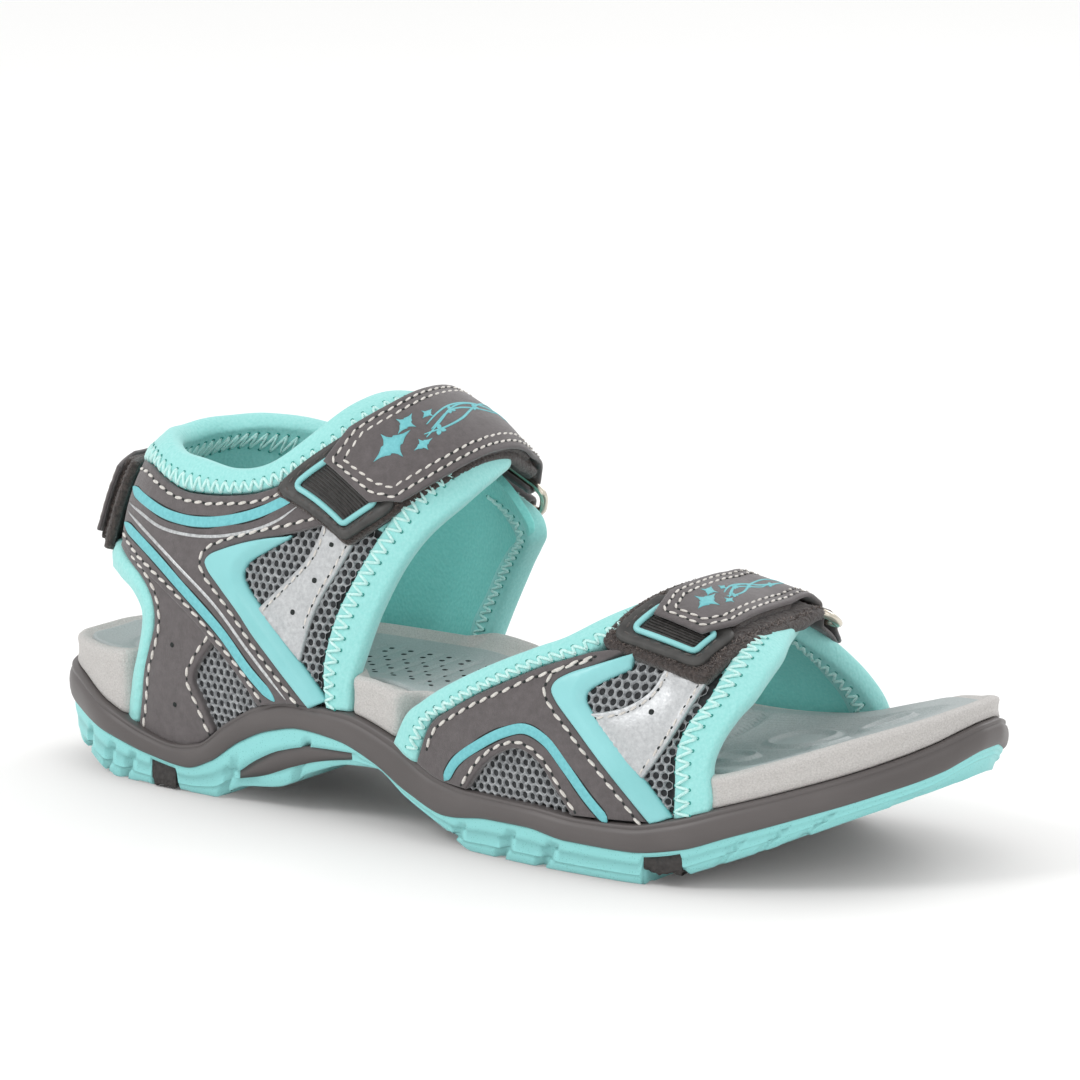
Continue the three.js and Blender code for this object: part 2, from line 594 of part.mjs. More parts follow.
// ---------- vamp ----------
function addVamp({ side, hand }) {
  const at = (...places) => places.map(([x, z]) => vampLast.side(x, z, hand));
  const over = (...places) =>
    places.map(([x, angle]) => vampLast.over(x, hand < 0 ? angle : 180 - angle));
  const foot = (...xs) => xs.map((x) => vampLast.side(x, bandTopZ(x) + SEAT, hand));
  const put = (name, material, heights, cells, ...edges) =>
    add(`${name}_${side}`, material, panel(vampLast, heights, cells, ...edges));

  // The lateral lining runs on over the foot as the strap's tongue; the medial one stops at the ring.
  const lateral = hand < 0;
  const rearEdge = at([-3, 31], [2, 35], [8, 39], [16, 43.5], [25, 48], [34, 52], [41, 55]);
  const frontEdge = lateral
    ? at([82, 22], [81, 30], [82, 36], [84, 42], [86, 46])
    : at([82.5, 24], [82, 30], [79, 37], [75, 43], [71, 48]);
  const tops = lateral ? over([55, 98], [66, 106], [77, 98]) : over([54, 64], [60, 62], [66, 62]);
  const tongueRear = lateral ? over([50, 66], [54, 82]) : [];
  const tongueFront = lateral ? over([86, 72], [81, 86]) : [];
  put(
    "vamp_lining", "neoprene", LINING, [14, 12],
    foot(-7, 10, 30, 50, 68, 82), tops,
    [...foot(-7), ...rearEdge, ...tongueRear, tops[0]],
    [...foot(82), ...frontEdge, ...tongueFront, tops[2]],
  );
  const meshFront = at([71, 32], [lateral ? 72 : 66, 44]);
  put(
    "vamp_mesh", "air_mesh", MESH, [9, 6],
    foot(4, 20, 40, 60, 71), [...at([46, 50], [60, 49]), meshFront[1]],
    [...foot(4), ...at([10.5, 33], [18, 38], [28, 43], [37, 47], [46, 50])],
    [...foot(71), ...meshFront],
  );
  put(
    "vamp_rear_binding", "neoprene", BINDING, [10, 1],
    [...foot(-7), ...rearEdge],
    [...foot(-1.5), ...at([3.5, 31.5], [9.5, 35.5], [17, 40], [26, 44.5], [34, 48.3], [44.5, 52.5])],
  );
  const bindingInner = lateral ? [[74, 24], [73.5, 33], [75, 39], [78, 45]] : [[75, 26], [74, 32]];
  put(
    "vamp_front_binding", "neoprene", BINDING, [8, 1],
    [...foot(74), ...at(...bindingInner)],
    [...foot(82), ...(lateral ? frontEdge : frontEdge.slice(0, 2))],
  );
  put(
    "vamp_overlay", "nubuck", OVERLAY, [9, 6],
    foot(-0.5, 20, 40, 65), at([47.5, 52], [55, 50.5]),
    [...foot(-0.5), ...at([4.5, 31], [10.5, 35], [18, 39.3], [27, 43.8], [36, 48], [47.5, 52])],
    [...foot(65), ...at([55, 27.5], [45, 36], [39.3, 42.5], [42.5, 46], [55, 50.5])],
  );
  put(
    "vamp_chevron", "mint_moulding", MOULDING, [12, 1],
    at(lateral ? [56, 50] : [50, 47.7], [46, 46.3], [41, 43], [46.5, 36], [56, 27.8], [65.5, 18.5]),
    at(lateral ? [57.5, 48] : [51, 45.6], [50, 45], [48, 42.5], [52, 37.5], [60, 29.5], [68, 20.5]),
  );
  if (lateral) {
    put(
      "vamp_silver_panel", "silver_leather", MOULDING, [4, 2],
      at([52, 38.5], [57, 41], [61, 44.5], [62, 47]), at([64, 29], [67, 35], [68, 41], [70, 45.5]),
    );
  }
}

// ---------- the three closures ----------
// Each patch is a moulded end piece on the strap below, from and to being either side of the flap's tip.
const CLOSURES = [
  {
    name: "instep", last: rearLast, half: 12, length: 64, tip: 0.66, slant: -0.35, lift: 0,
    patch: { from: -8, to: 12.5, half: 12, inlay: [3.5, 9] },
    points: [[61, 70], [61.5, 53], [62, 36], [62.5, 4], [63, -16], [66, -33], [71.5, -47], [79, -60]].map(
      ([angle, lean]) => rearLast.over(angle, lean),
    ),
  },
  {
    name: "forefoot", last: vampLast, half: 10, length: 44, tip: 0.66, slant: -0.15, lift: 0,
    patch: { from: -8, to: 8.5, half: 12, inlay: [2, 5.5] },
    points: [[64, 147], [65, 130], [66, 113], [66.5, 96], [65.5, 76], [63, 57], [60, 38]].map(
      ([x, angle]) => vampLast.over(x, angle),
    ),
  },
  {
    name: "heel", last: rearLast, half: 11, length: 41, tip: 0.75, slant: 0, lift: 2,
    patch: null,
    points: [
      vec(-77, 27, 67), vec(-87, 25, 67), vec(-98, 22, 67), vec(-108, 15, 67), vec(-113, 0, 67),
      vec(-108, -15, 67), vec(-94, -23, 68),
    ],
  },
];
const PATCH_RIM = 3; // from the patch's long edges to the inlay
const HEEL_SEAM = 2; // a strap without a patch is sewn down this far past the flap's tip

function addClosure({ name, last, half, length, tip, slant, lift, patch, points }) {
  const track = makeTrack(last, points, lift);
  const seam = length + (patch ? patch.from - GAP : HEEL_SEAM);
  add(`${name}_loop_strap`, "hook_and_loop", band(track, [OPEN_ROOM, seam], half, BASE));
  if (patch) {
    const [from, to] = [length + patch.from, length + patch.to];
    add(`${name}_patch`, "patch_plastic", band(track, [from, to], patch.half, PATCH, [0, slant]));
    const inlay = patch.inlay.map((reach) => length + reach);
    const inlayBand = band(track, inlay, patch.half - PATCH_RIM, INLAY, [slant, slant]);
    add(`${name}_patch_inlay`, "mint_moulding", inlayBand);
  }
  add(`${name}_ring`, "ring_steel", wireRing(track, half + RING_MARGIN));
  add(`${name}_ring_keeper`, "webbing", keeper(track, half - 0.6));
  add(`${name}_flap`, "nubuck", flap(track, length, half, tip, slant));
  add(`${name}_flap_hook`, "hook_and_loop", band(track, [12.5, length - 9], half - 1, HOOK));
}

addSole();
SIDES.forEach(addQuarter);
addHeelLining();
SIDES.forEach(addVamp);
CLOSURES.forEach(addClosure);

// The origin is the middle of the bounding box's base.
const bounds = new THREE.Box3().setFromObject(sandal);
const middle = bounds.getCenter(vec());
sandal.position.set(-middle.x, -middle.y, -bounds.min.z);

export default sandal;
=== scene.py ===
# The looks of a strappy sport sandal for the right foot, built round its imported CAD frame.
#
# Shapes are worked out in millimetres, in the frame the lasts are drawn in, and every mesh is turned into
# metres in the row's frame as it is made. +X is the toe, +Y the big-toe side, +Z up. Soft pieces lie on two
# "lasts", the foot shapes the sandal is made on, each at its own height above its last.
import math

import bmesh
import bpy
import numpy as np
from mathutils import Matrix, Vector
from mathutils.geometry import delaunay_2d_cdt


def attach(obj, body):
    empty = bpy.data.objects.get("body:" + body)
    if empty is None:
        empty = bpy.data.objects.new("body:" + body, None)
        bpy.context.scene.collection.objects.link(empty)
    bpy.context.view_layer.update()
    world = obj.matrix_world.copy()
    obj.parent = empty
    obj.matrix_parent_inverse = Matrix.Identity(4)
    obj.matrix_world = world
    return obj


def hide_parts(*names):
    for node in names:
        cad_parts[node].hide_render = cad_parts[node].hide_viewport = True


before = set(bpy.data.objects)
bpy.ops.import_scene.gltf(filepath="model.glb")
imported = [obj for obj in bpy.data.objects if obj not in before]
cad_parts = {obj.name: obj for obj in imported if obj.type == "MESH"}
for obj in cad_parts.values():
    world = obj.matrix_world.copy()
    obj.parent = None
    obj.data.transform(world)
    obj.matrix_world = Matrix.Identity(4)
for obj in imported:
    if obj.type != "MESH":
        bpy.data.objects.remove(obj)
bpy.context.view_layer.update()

ROOT = "sandal"
MM = 0.001
SHIFT = np.array([0.0, 1.256418, 0.0])  # from the lasts' frame to the row's frame, in mm
rng = np.random.default_rng(11)


# ---------- camera, light and floor ----------
def look_at(position, aim, up):
    back = (position - aim).normalized()
    right = up.cross(back).normalized()
    turned = Matrix((right, back.cross(right), back)).transposed().to_4x4()
    turned.translation = position
    return turned


CAMERA_TURN = math.radians(34.0)
CAMERA_LIFT = math.radians(12.4)
CAMERA_DISTANCE = 1.450
CAMERA_LENS = 194.8  # mm, on a 36 mm sensor
CAMERA_TARGET = Vector((0.0, SHIFT[1] * MM, 0.040))
FRAMING = (0.0063, 0.0280)  # how far right of and above the target the picture's centre is

back = Vector(
    (
        math.sin(CAMERA_TURN) * math.cos(CAMERA_LIFT),
        -math.cos(CAMERA_TURN) * math.cos(CAMERA_LIFT),
        math.sin(CAMERA_LIFT),
    )
)
right = Vector((math.cos(CAMERA_TURN), math.sin(CAMERA_TURN), 0.0))
up = back.cross(right)
camera_data = bpy.data.cameras.new("camera")
camera_data.lens = CAMERA_LENS
camera_data.sensor_width = 36.0
camera_data.clip_start = 0.05
camera = bpy.data.objects.new("camera", camera_data)
bpy.context.scene.collection.objects.link(camera)
aim = CAMERA_TARGET + right * FRAMING[0] + up * FRAMING[1]
camera.matrix_world = look_at(CAMERA_TARGET + back * CAMERA_DISTANCE, aim, up)
bpy.context.scene.camera = camera


def area_light(name, position, size, power):
    data = bpy.data.lights.new(name, "AREA")
    data.shape = "DISK"
    data.size = size
    data.energy = power
    light = bpy.data.objects.new(name, data)
    bpy.context.scene.collection.objects.link(light)
    light.matrix_world = look_at(Vector(position), Vector((0, 0, 0.04)), Vector((0, 0.01, 1)))


area_light("key", (-0.55, -0.95, 1.15), 0.55, 5.4)
area_light("fill", (1.25, -0.75, 0.75), 0.9, 1.6)
area_light("rim", (0.3, 1.2, 0.9), 0.8, 4.0)
world = bpy.data.worlds.new("studio")
world.use_nodes = True
world.node_tree.nodes["Background"].inputs["Color"].default_value = (1, 1, 1, 1)
world.node_tree.nodes["Background"].inputs["Strength"].default_value = 0.97
bpy.context.scene.world = world
bpy.context.scene.view_settings.view_transform = "Standard"


# ---------- materials ----------
BANDS_PER_UNIT = 3.1831  # of the wave texture at scale 1


def linear(code):
    """A colour written as on screen, as the linear values that a shader takes."""
    channels = [int(code[i : i + 2], 16) / 255 for i in (1, 3, 5)]
    return tuple(c / 12.92 if c <= 0.04045 else ((c + 0.055) / 1.055) ** 2.4 for c in channels) + (1.0,)


MATERIALS = {}


class Surface:
    """A Principled material with procedural detail, in object coordinates, scales in details per mm."""

    def __init__(self, name, color, roughness, values={}):
        MATERIALS[name] = bpy.data.materials.new(name)
        MATERIALS[name].use_nodes = True
        self.tree = MATERIALS[name].node_tree
        self.shader = self.tree.nodes["Principled BSDF"]
        self.place = self.node("ShaderNodeTexCoord").outputs["Object"]
        self.shader.inputs["Base Color"].default_value = linear(color)
        self.shader.inputs["Roughness"].default_value = roughness
        for key, value in values.items():
            self.shader.inputs[key].default_value = value
        self.normal = None

    def node(self, kind, **settings):
        node = self.tree.nodes.new(kind)
        for key, value in settings.items():
            setattr(node, key, value)
        return node

    def join(self, a, b):
        self.tree.links.new(a, b)

    def noise(self, per_mm, detail=2.0, rough=0.5):
        noise = self.node("ShaderNodeTexNoise")
        noise.inputs["Scale"].default_value = per_mm / MM
        noise.inputs["Detail"].default_value = detail
        noise.inputs["Roughness"].default_value = rough
        self.join(self.place, noise.inputs["Vector"])
        return noise.outputs["Fac"]

    def cells(self, per_mm, feature="F1", stretch=None):
        cells = self.node("ShaderNodeTexVoronoi", feature=feature)
        cells.inputs["Scale"].default_value = per_mm / MM
        place = self.place
        if stretch is not None:
            mapping = self.node("ShaderNodeMapping")
            mapping.inputs["Scale"].default_value = stretch
            self.join(place, mapping.inputs["Vector"])
            place = mapping.outputs["Vector"]
        self.join(place, cells.inputs["Vector"])
        return cells.outputs["Distance"]

    def waves(self, per_mm, distortion=0.0):
        waves = self.node("ShaderNodeTexWave", bands_direction="DIAGONAL")
        waves.inputs["Scale"].default_value = per_mm / MM / BANDS_PER_UNIT
        waves.inputs["Distortion"].default_value = distortion
        self.join(self.place, waves.inputs["Vector"])
        return waves.outputs["Fac"]

    def texture(self, kind, *settings):
        return {"noise": self.noise, "cells": self.cells, "waves": self.waves}[kind](*settings)

    def tint(self, factor, low, high, at=(0.3, 0.7)):
        """Colours the surface from low to high as factor rises. Both are written as on screen."""
        ramp = self.node("ShaderNodeValToRGB")
        ramp.color_ramp.elements[0].position = at[0]
        ramp.color_ramp.elements[0].color = linear(low)
        ramp.color_ramp.elements[1].position = at[1]
        ramp.color_ramp.elements[1].color = linear(high)
        self.join(factor, ramp.inputs["Fac"])
        self.join(ramp.outputs["Color"], self.shader.inputs["Base Color"])
        return self

    def rough(self, factor, low, high):
        spread = self.node("ShaderNodeMapRange")
        spread.inputs["To Min"].default_value = low
        spread.inputs["To Max"].default_value = high
        self.join(factor, spread.inputs["Value"])
        self.join(spread.outputs["Result"], self.shader.inputs["Roughness"])
        return self

    def bump(self, height, depth, strength=1.0):
        """Adds relief of the given depth in mm."""
        bump = self.node("ShaderNodeBump")
        bump.inputs["Distance"].default_value = depth * MM
        bump.inputs["Strength"].default_value = strength
        self.join(height, bump.inputs["Height"])
        if self.normal is not None:
            self.join(self.normal, bump.inputs["Normal"])
        self.normal = bump.outputs["Normal"]
        self.join(self.normal, self.shader.inputs["Normal"])
        return self


# Each material: name, colour, roughness, shader values, the texture that tints it and between which
# colours, and the texture that gives it relief and how deep, in mm. Textures are in details per mm.
MATERIAL_ROWS = (
    ("dark_rubber", "#565150", 0.42, {}, ("noise", 0.03, 3), "#504b4a", "#5c5756", ("noise", 3.0, 2), 0.03),
    ("tread_rubber", "#2f2c2a", 0.6, {}, ("noise", 0.6, 3), "#262322", "#3a3634", ("cells", 0.9), 0.35),
    ("footbed_foam", "#bdbab7", 0.75, {}, ("noise", 2.6, 3), "#b1aeab", "#c8c5c2", ("cells", 2.3), 0.10),
    ("footbed_cover", "#a6adad", 0.62, {}, ("noise", 2.4, 3), "#9ba3a3", "#afb5b5", ("cells", 1.9), 0.08),
    ("mesh_base", "#2b2d2f", 0.9, {}, ("noise", 0.8, 2), "#222426", "#3a3c3e", ("noise", 2.5, 2), 0.1),
    ("mesh_strand", "#9b9da0", 0.7, {"Sheen Weight": 0.2}, ("noise", 1.1, 3), "#6f7275", "#b7babc",
     ("waves", 2.4, 1.0), 0.08),
    ("nubuck", "#5b5556", 0.82, {"Sheen Weight": 0.35, "Sheen Roughness": 0.45}, ("noise", 0.5, 6, 0.7),
     "#524d4d", "#635d5e", ("noise", 2.6, 4, 0.7), 0.14),
    ("mint_print", "#6bbac1", 0.5, {}, ("noise", 1.2, 3), "#64b3ba", "#74c2c8", ("noise", 2.6, 3), 0.05),
    ("silver_print", "#c3c5c6", 0.35, {"Metallic": 0.75}, ("noise", 1.2, 3), "#a9abac", "#d4d6d7",
     ("noise", 2.4, 2), 0.04),
    ("silver_leather", "#bdbfc1", 0.48, {"Metallic": 0.45}, ("noise", 0.9, 5, 0.7), "#adafb1", "#cbcdce",
     ("cells", 1.1, "DISTANCE_TO_EDGE"), 0.06),
    ("mint_moulding", "#86c8c9", 0.36, {"Coat Weight": 0.15, "Coat Roughness": 0.3}, ("noise", 0.06, 2),
     "#80c4c5", "#8cced0", ("noise", 1.6, 2), 0.02),
    ("patch_plastic", "#3a3938", 0.5, {}, ("noise", 0.3, 3), "#323130", "#444341", ("noise", 2.4, 3), 0.05),
    ("hook_and_loop", "#211d1c", 0.95, {"Sheen Weight": 0.3}, ("noise", 1.1, 4, 0.7), "#241f1e", "#544a46",
     ("noise", 1.3, 4, 0.7), 0.6),
    # fibre: the same fabric as the hook-and-loop band, tinted lighter up to a grey-brown: painted highlight
    # of loose fibres catching light
    ("fibre", "#4b4543", 0.8, {"Sheen Weight": 0.3}, ("noise", 0.9, 2), "#2b2422", "#75665e",
     ("noise", 4.0), 0.02),
    # recess_shade: near-black, painted shade for the inside of needle holes, small holes and breathing holes,
    # and for the printed stripes' sunk borders
    ("recess_shade", "#1f2423", 0.9, {}, ("noise", 2.0), "#171b1a", "#2a302f", ("noise", 3.0), 0.05),
    # mint_recess_shade: darker mint, painted shade inside the zigzag's needle holes in the neoprene
    ("mint_recess_shade", "#2f8d86", 0.9, {}, ("noise", 2.0), "#25807a", "#3a9b93", ("noise", 3.0), 0.05),
    ("board", "#8a7a60", 0.9, {}, ("noise", 0.6, 4), "#7c6d55", "#998868", ("noise", 1.5, 3), 0.1),
)


def make_materials():
    for name, color, roughness, values, texture, low, high, relief, depth in MATERIAL_ROWS:
        s = Surface(name, color, roughness, values)
        s.tint(s.texture(*texture), low, high).bump(s.texture(*relief), depth)
        if name == "dark_rubber":
            s.rough(s.noise(0.08, 2), 0.36, 0.5)
        elif name == "silver_leather":
            s.rough(s.noise(0.8, 4), 0.32, 0.55)
        elif name == "nubuck":
            s.bump(s.noise(0.12, 3), 0.25, 0.5)
    s = Surface("mint_rubber", "#8ed5d5", 0.5)
    s.tint(s.cells(1.6), "#6db9b5", "#8ed5d4", (0.10, 0.24)).bump(s.noise(2.2, 3), 0.05)
    s = Surface("ring_steel", "#cfc8ba", 0.2, {"Metallic": 1.0})
    s.rough(s.noise(0.4, 3), 0.14, 0.3).bump(s.noise(0.8), 0.01)
    # The inner lining is a darker, more saturated copy of the same neoprene: painted shade and bounced light
    # of the sandal's inside.
    for name, low, high in (("neoprene", "#8fd3cf", "#9ddbd8"), ("neoprene_inner_painted_shade", "#7bd2cc", "#8adbd5")):
        s = Surface(name, high, 0.8, {"Sheen Weight": 0.25, "Sheen Roughness": 0.5})
        knit = s.cells(1.35, stretch=(1.0, 1.0, 0.62))
        s.tint(s.noise(1.4, 4), low, high).bump(knit, 0.16, 0.7)
    for name, low, high in (
        ("thread_white", "#c9c4bd", "#e6e2dc"),
        ("thread_mint", "#b4ece6", "#d8f8f4"),
        ("thread_dark", "#3b3634", "#57504c"),
    ):
        s = Surface(name, high, 0.7, {"Sheen Weight": 0.2})
        s.tint(s.noise(1.5, 2), low, high).bump(s.waves(3.2), 0.08)


make_materials()

floor_mesh = bpy.data.meshes.new("floor")
FLOOR_HALF = 6.0
corners = [(-1, -1), (1, -1), (1, 1), (-1, 1)]
floor_mesh.from_pydata([(x * FLOOR_HALF, y * FLOOR_HALF, 0) for x, y in corners], [], [(0, 1, 2, 3)])
floor = bpy.data.objects.new("floor", floor_mesh)
bpy.context.scene.collection.objects.link(floor)
floor_paint = Surface("floor_paint", "#fbfbfa", 0.8)
floor_paint.tint(floor_paint.noise(0.002, 2), "#fafaf9", "#fcfcfb")
floor_mesh.materials.append(MATERIALS["floor_paint"])


# ---------- shapes ----------
def profile(*knots):
    """A smooth curve through (x, y) knots that doesn't overshoot between them (monotone cubic)."""
    xs, ys = (np.array(values, float) for values in zip(*knots))
    rise = np.diff(ys) / np.diff(xs)
    slope = np.concatenate(([rise[0]], np.zeros(len(xs) - 2), [rise[-1]]))
    a, b = rise[:-1], rise[1:]
    same = a * b > 0
    slope[1:-1][same] = (2 * a * b)[same] / (a + b)[same]

    def at(x):
        x = np.clip(x, xs[0], xs[-1])
        i = np.clip(np.searchsorted(xs, x) - 1, 0, len(xs) - 2)
        h = xs[i + 1] - xs[i]
        t = (x - xs[i]) / h
        t2, t3 = t * t, t * t * t
        return (
            (2 * t3 - 3 * t2 + 1) * ys[i]
            + (t3 - 2 * t2 + t) * h * slope[i]
            + (3 * t2 - 2 * t3) * ys[i + 1]
            + (t3 - t2) * h * slope[i + 1]
        )

    return at


def smoothstep(x, low, high):
    t = np.clip((x - low) / (high - low), 0, 1)
    return t * t * (3 - 2 * t)


def unit(v):
    return v / np.maximum(np.linalg.norm(v, axis=-1, keepdims=True), 1e-12)


def spline(points, per=24):
    """A dense centripetal Catmull-Rom polyline through the points."""
    p = np.array(points, float)
    if len(p) == 2:
        return p[0] + (p[1] - p[0]) * np.linspace(0, 1, per + 1)[:, None]
    p = np.vstack([2 * p[0] - p[1], p, 2 * p[-1] - p[-2]])
    t = np.linspace(0, 1, per, endpoint=False)[:, None]
    out = []
    for p0, p1, p2, p3 in zip(p, p[1:], p[2:], p[3:]):
        d0, d1, d2 = (max(np.linalg.norm(b - a) ** 0.5, 1e-4) for a, b in ((p0, p1), (p1, p2), (p2, p3)))
        m1 = ((p1 - p0) / d0 - (p2 - p0) / (d0 + d1) + (p2 - p1) / d1) * d1
        m2 = ((p2 - p1) / d1 - (p3 - p1) / (d1 + d2) + (p3 - p2) / d2) * d1
        out.append(
            p1 + m1 * t + (3 * (p2 - p1) - 2 * m1 - m2) * t**2 + (2 * (p1 - p2) + m1 + m2) * t**3
        )
    return np.vstack([*out, p[-2:-1]])


def length_of(line):
    return np.linalg.norm(np.diff(line, axis=0), axis=1).sum()


def along(line, us):
    """Points of a polyline at us, from 0 to 1 of its length."""
    s = np.concatenate(([0], np.cumsum(np.linalg.norm(np.diff(line, axis=0), axis=1))))
    at = np.clip(np.asarray(us, float), 0, 1) * s[-1]
    return np.stack([np.interp(at, s, line[:, k]) for k in range(line.shape[1])], axis=-1)


# ---------- sole outline and heights ----------
outer_edge = profile(
    (-131, -9), (-128, -15), (-122, -21), (-105, -30), (-70, -34), (-30, -37.5), (5, -42), (40, -47),
    (60, -47.5), (75, -45.5), (90, -40), (110, -27), (122, -14), (128, -5), (131, 4),
)
inner_edge = profile(
    (-131, 9), (-128, 15), (-120, 22), (-108, 28), (-90, 31.5), (-50, 29), (-15, 28.5), (20, 34.5),
    (50, 42.5), (78, 45), (105, 40.5), (119, 31.5), (127, 22.5), (131, 13),
)
ground_z = profile(
    (-131, 6.5), (-118, 3.5), (-104, 0), (-70, 0), (-61, 4), (-48, 6), (-38, 11), (-25, 15), (-16, 15.5),
    (-6, 9.5), (6, 4), (15, 0), (68, 0), (80, 4.5), (96, 11), (112, 18), (126, 24), (131, 28),
)
band_low = profile(
    (-131, 16.5), (-123, 15.4), (-105, 11.4), (-90, 8.2), (-78, 6.8), (-70, 9.5), (-60, 16), (-50, 20.3),
    (-40, 22.2), (-28, 21.2), (-16, 17.5), (-5, 12), (8, 8), (22, 9.6), (34, 9.8), (46, 8.2), (64, 8),
    (77, 9.8), (88, 13.5), (103, 18.6), (117, 23.6), (127, 28), (131, 31.5),
)
band_top = profile(
    (-131, 25.5), (-122, 24.4), (-106, 19), (-92, 14.2), (-82, 12.4), (-74, 13.6), (-64, 20.5), (-54, 26),
    (-44, 29), (-26, 28.6), (-10, 24.6), (4, 18), (16, 15.8), (36, 15.4), (50, 14.4), (64, 14.8),
    (75, 17), (86, 20.4), (100, 24.6), (116, 30), (126, 34.6), (131, 38),
)
rim_z = profile(
    (-131, 32.4), (-110, 33.2), (-80, 35.5), (-50, 38), (-22, 37.8), (2, 33.4), (30, 28.4), (60, 26),
    (83, 27.6), (96, 31), (111, 36), (123, 39.8), (131, 42.6),
)
dish_depth = profile((-131, 0), (-118, 3.4), (-80, 5), (-30, 5), (30, 3), (80, 2.6), (110, 2), (131, 0))
footbed_inset = profile(
    (-131, 1.8), (-102.5, 1.8), (-101, 2.2), (-97.5, 7.6), (-96, 8.6), (-27.5, 8.6), (-26, 7.6), (-23.4, 2.2),
    (-22, 1.8), (-11, 1.8), (-9.6, 2.2), (-6.5, 8.6), (-5, 9.6), (79.5, 9.6), (81, 8.6), (84.4, 2.2),
    (86, 1.8),
    (131, 1.8),
)
shank_low = profile((-61, 6.6), (-53, 8.6), (-43, 12.4), (-34, 15.2), (-24, 17))
shank_high = profile((-61, 8), (-55, 11.8), (-47, 15.4), (-36, 17.9), (-24, 18.4))
SHANK = (-61, -24)
TREADS = ((-90, -82), (67.5, 77))


# ---------- the two lasts ----------
class RearLast:
    """In every half-plane through a line across the ankle, half a superellipse."""

    PIVOT = (-62.0, 8.0)
    ROUND = 2.5
    reach = staticmethod(
        profile(
            (0, 78), (30, 87), (50, 94.5), (62, 98.5), (72, 98.5), (84, 97), (98, 95), (110, 91.5),
            (122, 85), (134, 75.5), (148, 66), (160, 60.5), (180, 58),
        )
    )
    outer = staticmethod(
        profile((0, 40), (25, 38.5), (60, 36), (90, 34), (120, 32.5), (160, 31.5), (180, 31))
    )
    inner = staticmethod(
        profile((0, 30), (30, 31), (50, 36.5), (62, 38), (75, 37), (95, 33.5), (115, 32), (180, 31))
    )

    def local(self, x, z, sign):
        dx, dz = x - self.PIVOT[0], z - self.PIVOT[1]
        angle = np.degrees(np.arctan2(dz, dx))
        half = np.where(sign < 0, self.outer(angle), self.inner(angle))
        return np.hypot(dx, dz) / self.reach(angle), half

    def level(self, p):
        reach, half = self.local(p[..., 0], p[..., 2], p[..., 1])
        return (reach**self.ROUND + np.abs(p[..., 1] / half) ** self.ROUND) ** (1 / self.ROUND)

    def project(self, p):
        k = (1 / self.level(p))[..., None]
        centre = np.zeros_like(p)
        centre[..., 0], centre[..., 2] = self.PIVOT
        return centre + (p - centre) * k

    def side(self, places, hand):
        xz = np.atleast_2d(np.array(places, float))
        reach, half = self.local(xz[..., 0], xz[..., 1], hand)
        rest = np.maximum(0, 1 - np.minimum(1, reach) ** self.ROUND)
        return np.stack([xz[..., 0], hand * half * rest ** (1 / self.ROUND), xz[..., 1]], axis=-1)

    def over(self, places, hand=-1):
        angle, lean = np.array(places, float).T
        lean = -hand * lean
        c, s = np.cos(np.radians(lean)), np.sin(np.radians(lean))
        half = np.where(lean < 0, self.outer(angle), self.inner(angle))
        reach = self.reach(angle) * np.abs(c) ** (2 / self.ROUND)
        y = half * np.sign(s) * np.abs(s) ** (2 / self.ROUND)
        turn = np.radians(angle)
        return np.stack([self.PIVOT[0] + reach * np.cos(turn), y, self.PIVOT[1] + reach * np.sin(turn)], -1)


class VampLast:
    """At every x, half a superellipse across the forefoot."""

    OUTER, INNER = 2.7, 2.1
    centre = staticmethod(profile((-20, -5), (0, -5), (20, -4), (40, -2.5), (60, -1), (80, 1), (95, 3)))
    half = staticmethod(profile((-20, 34), (0, 36), (20, 39.5), (40, 43), (60, 44.5), (80, 43), (95, 40)))
    foot = staticmethod(profile((-20, 26), (0, 22), (20, 16), (40, 12), (60, 10), (80, 12), (95, 14)))
    rise = staticmethod(profile((-20, 64), (0, 61), (20, 58), (40, 55), (60, 51.5), (80, 44), (95, 37)))

    def level(self, p):
        x = p[..., 0]
        across = np.abs(p[..., 1] - self.centre(x)) / self.half(x)
        rise = np.maximum(0, p[..., 2] - self.foot(x)) / self.rise(x)
        round_ = np.where(p[..., 1] < self.centre(x), self.OUTER, self.INNER)
        return (across**round_ + rise**round_) ** (1 / round_)

    def project(self, p):
        k = 1 / self.level(p)
        y0, z0 = self.centre(p[..., 0]), self.foot(p[..., 0])
        return np.stack([p[..., 0], y0 + (p[..., 1] - y0) * k, z0 + (p[..., 2] - z0) * k], axis=-1)

    def side(self, places, hand):
        xz = np.atleast_2d(np.array(places, float))
        x, z = xz[..., 0], xz[..., 1]
        rise = np.minimum(1, np.maximum(0, z - self.foot(x)) / self.rise(x))
        round_ = self.OUTER if hand < 0 else self.INNER
        y = self.centre(x) + hand * self.half(x) * (1 - rise**round_) ** (1 / round_)
        return np.stack([x, y, z], axis=-1)

    def over(self, places, hand=-1):
        x, angle = np.array(places, float).T
        if hand > 0:
            angle = 180 - angle
        c, s = np.cos(np.radians(angle)), np.sin(np.radians(angle))
        round_ = np.where(c > 0, self.OUTER, self.INNER)
        y = self.centre(x) - self.half(x) * np.sign(c) * np.abs(c) ** (2 / round_)
        return np.stack([x, y, self.foot(x) + self.rise(x) * np.maximum(0, s) ** (2 / round_)], axis=-1)


REAR, VAMP = RearLast(), VampLast()


def normals(last, p):
    STEP = 0.5
    axes = np.eye(3) * STEP
    return unit(np.stack([last.level(p + a) - last.level(p - a) for a in axes], axis=-1))


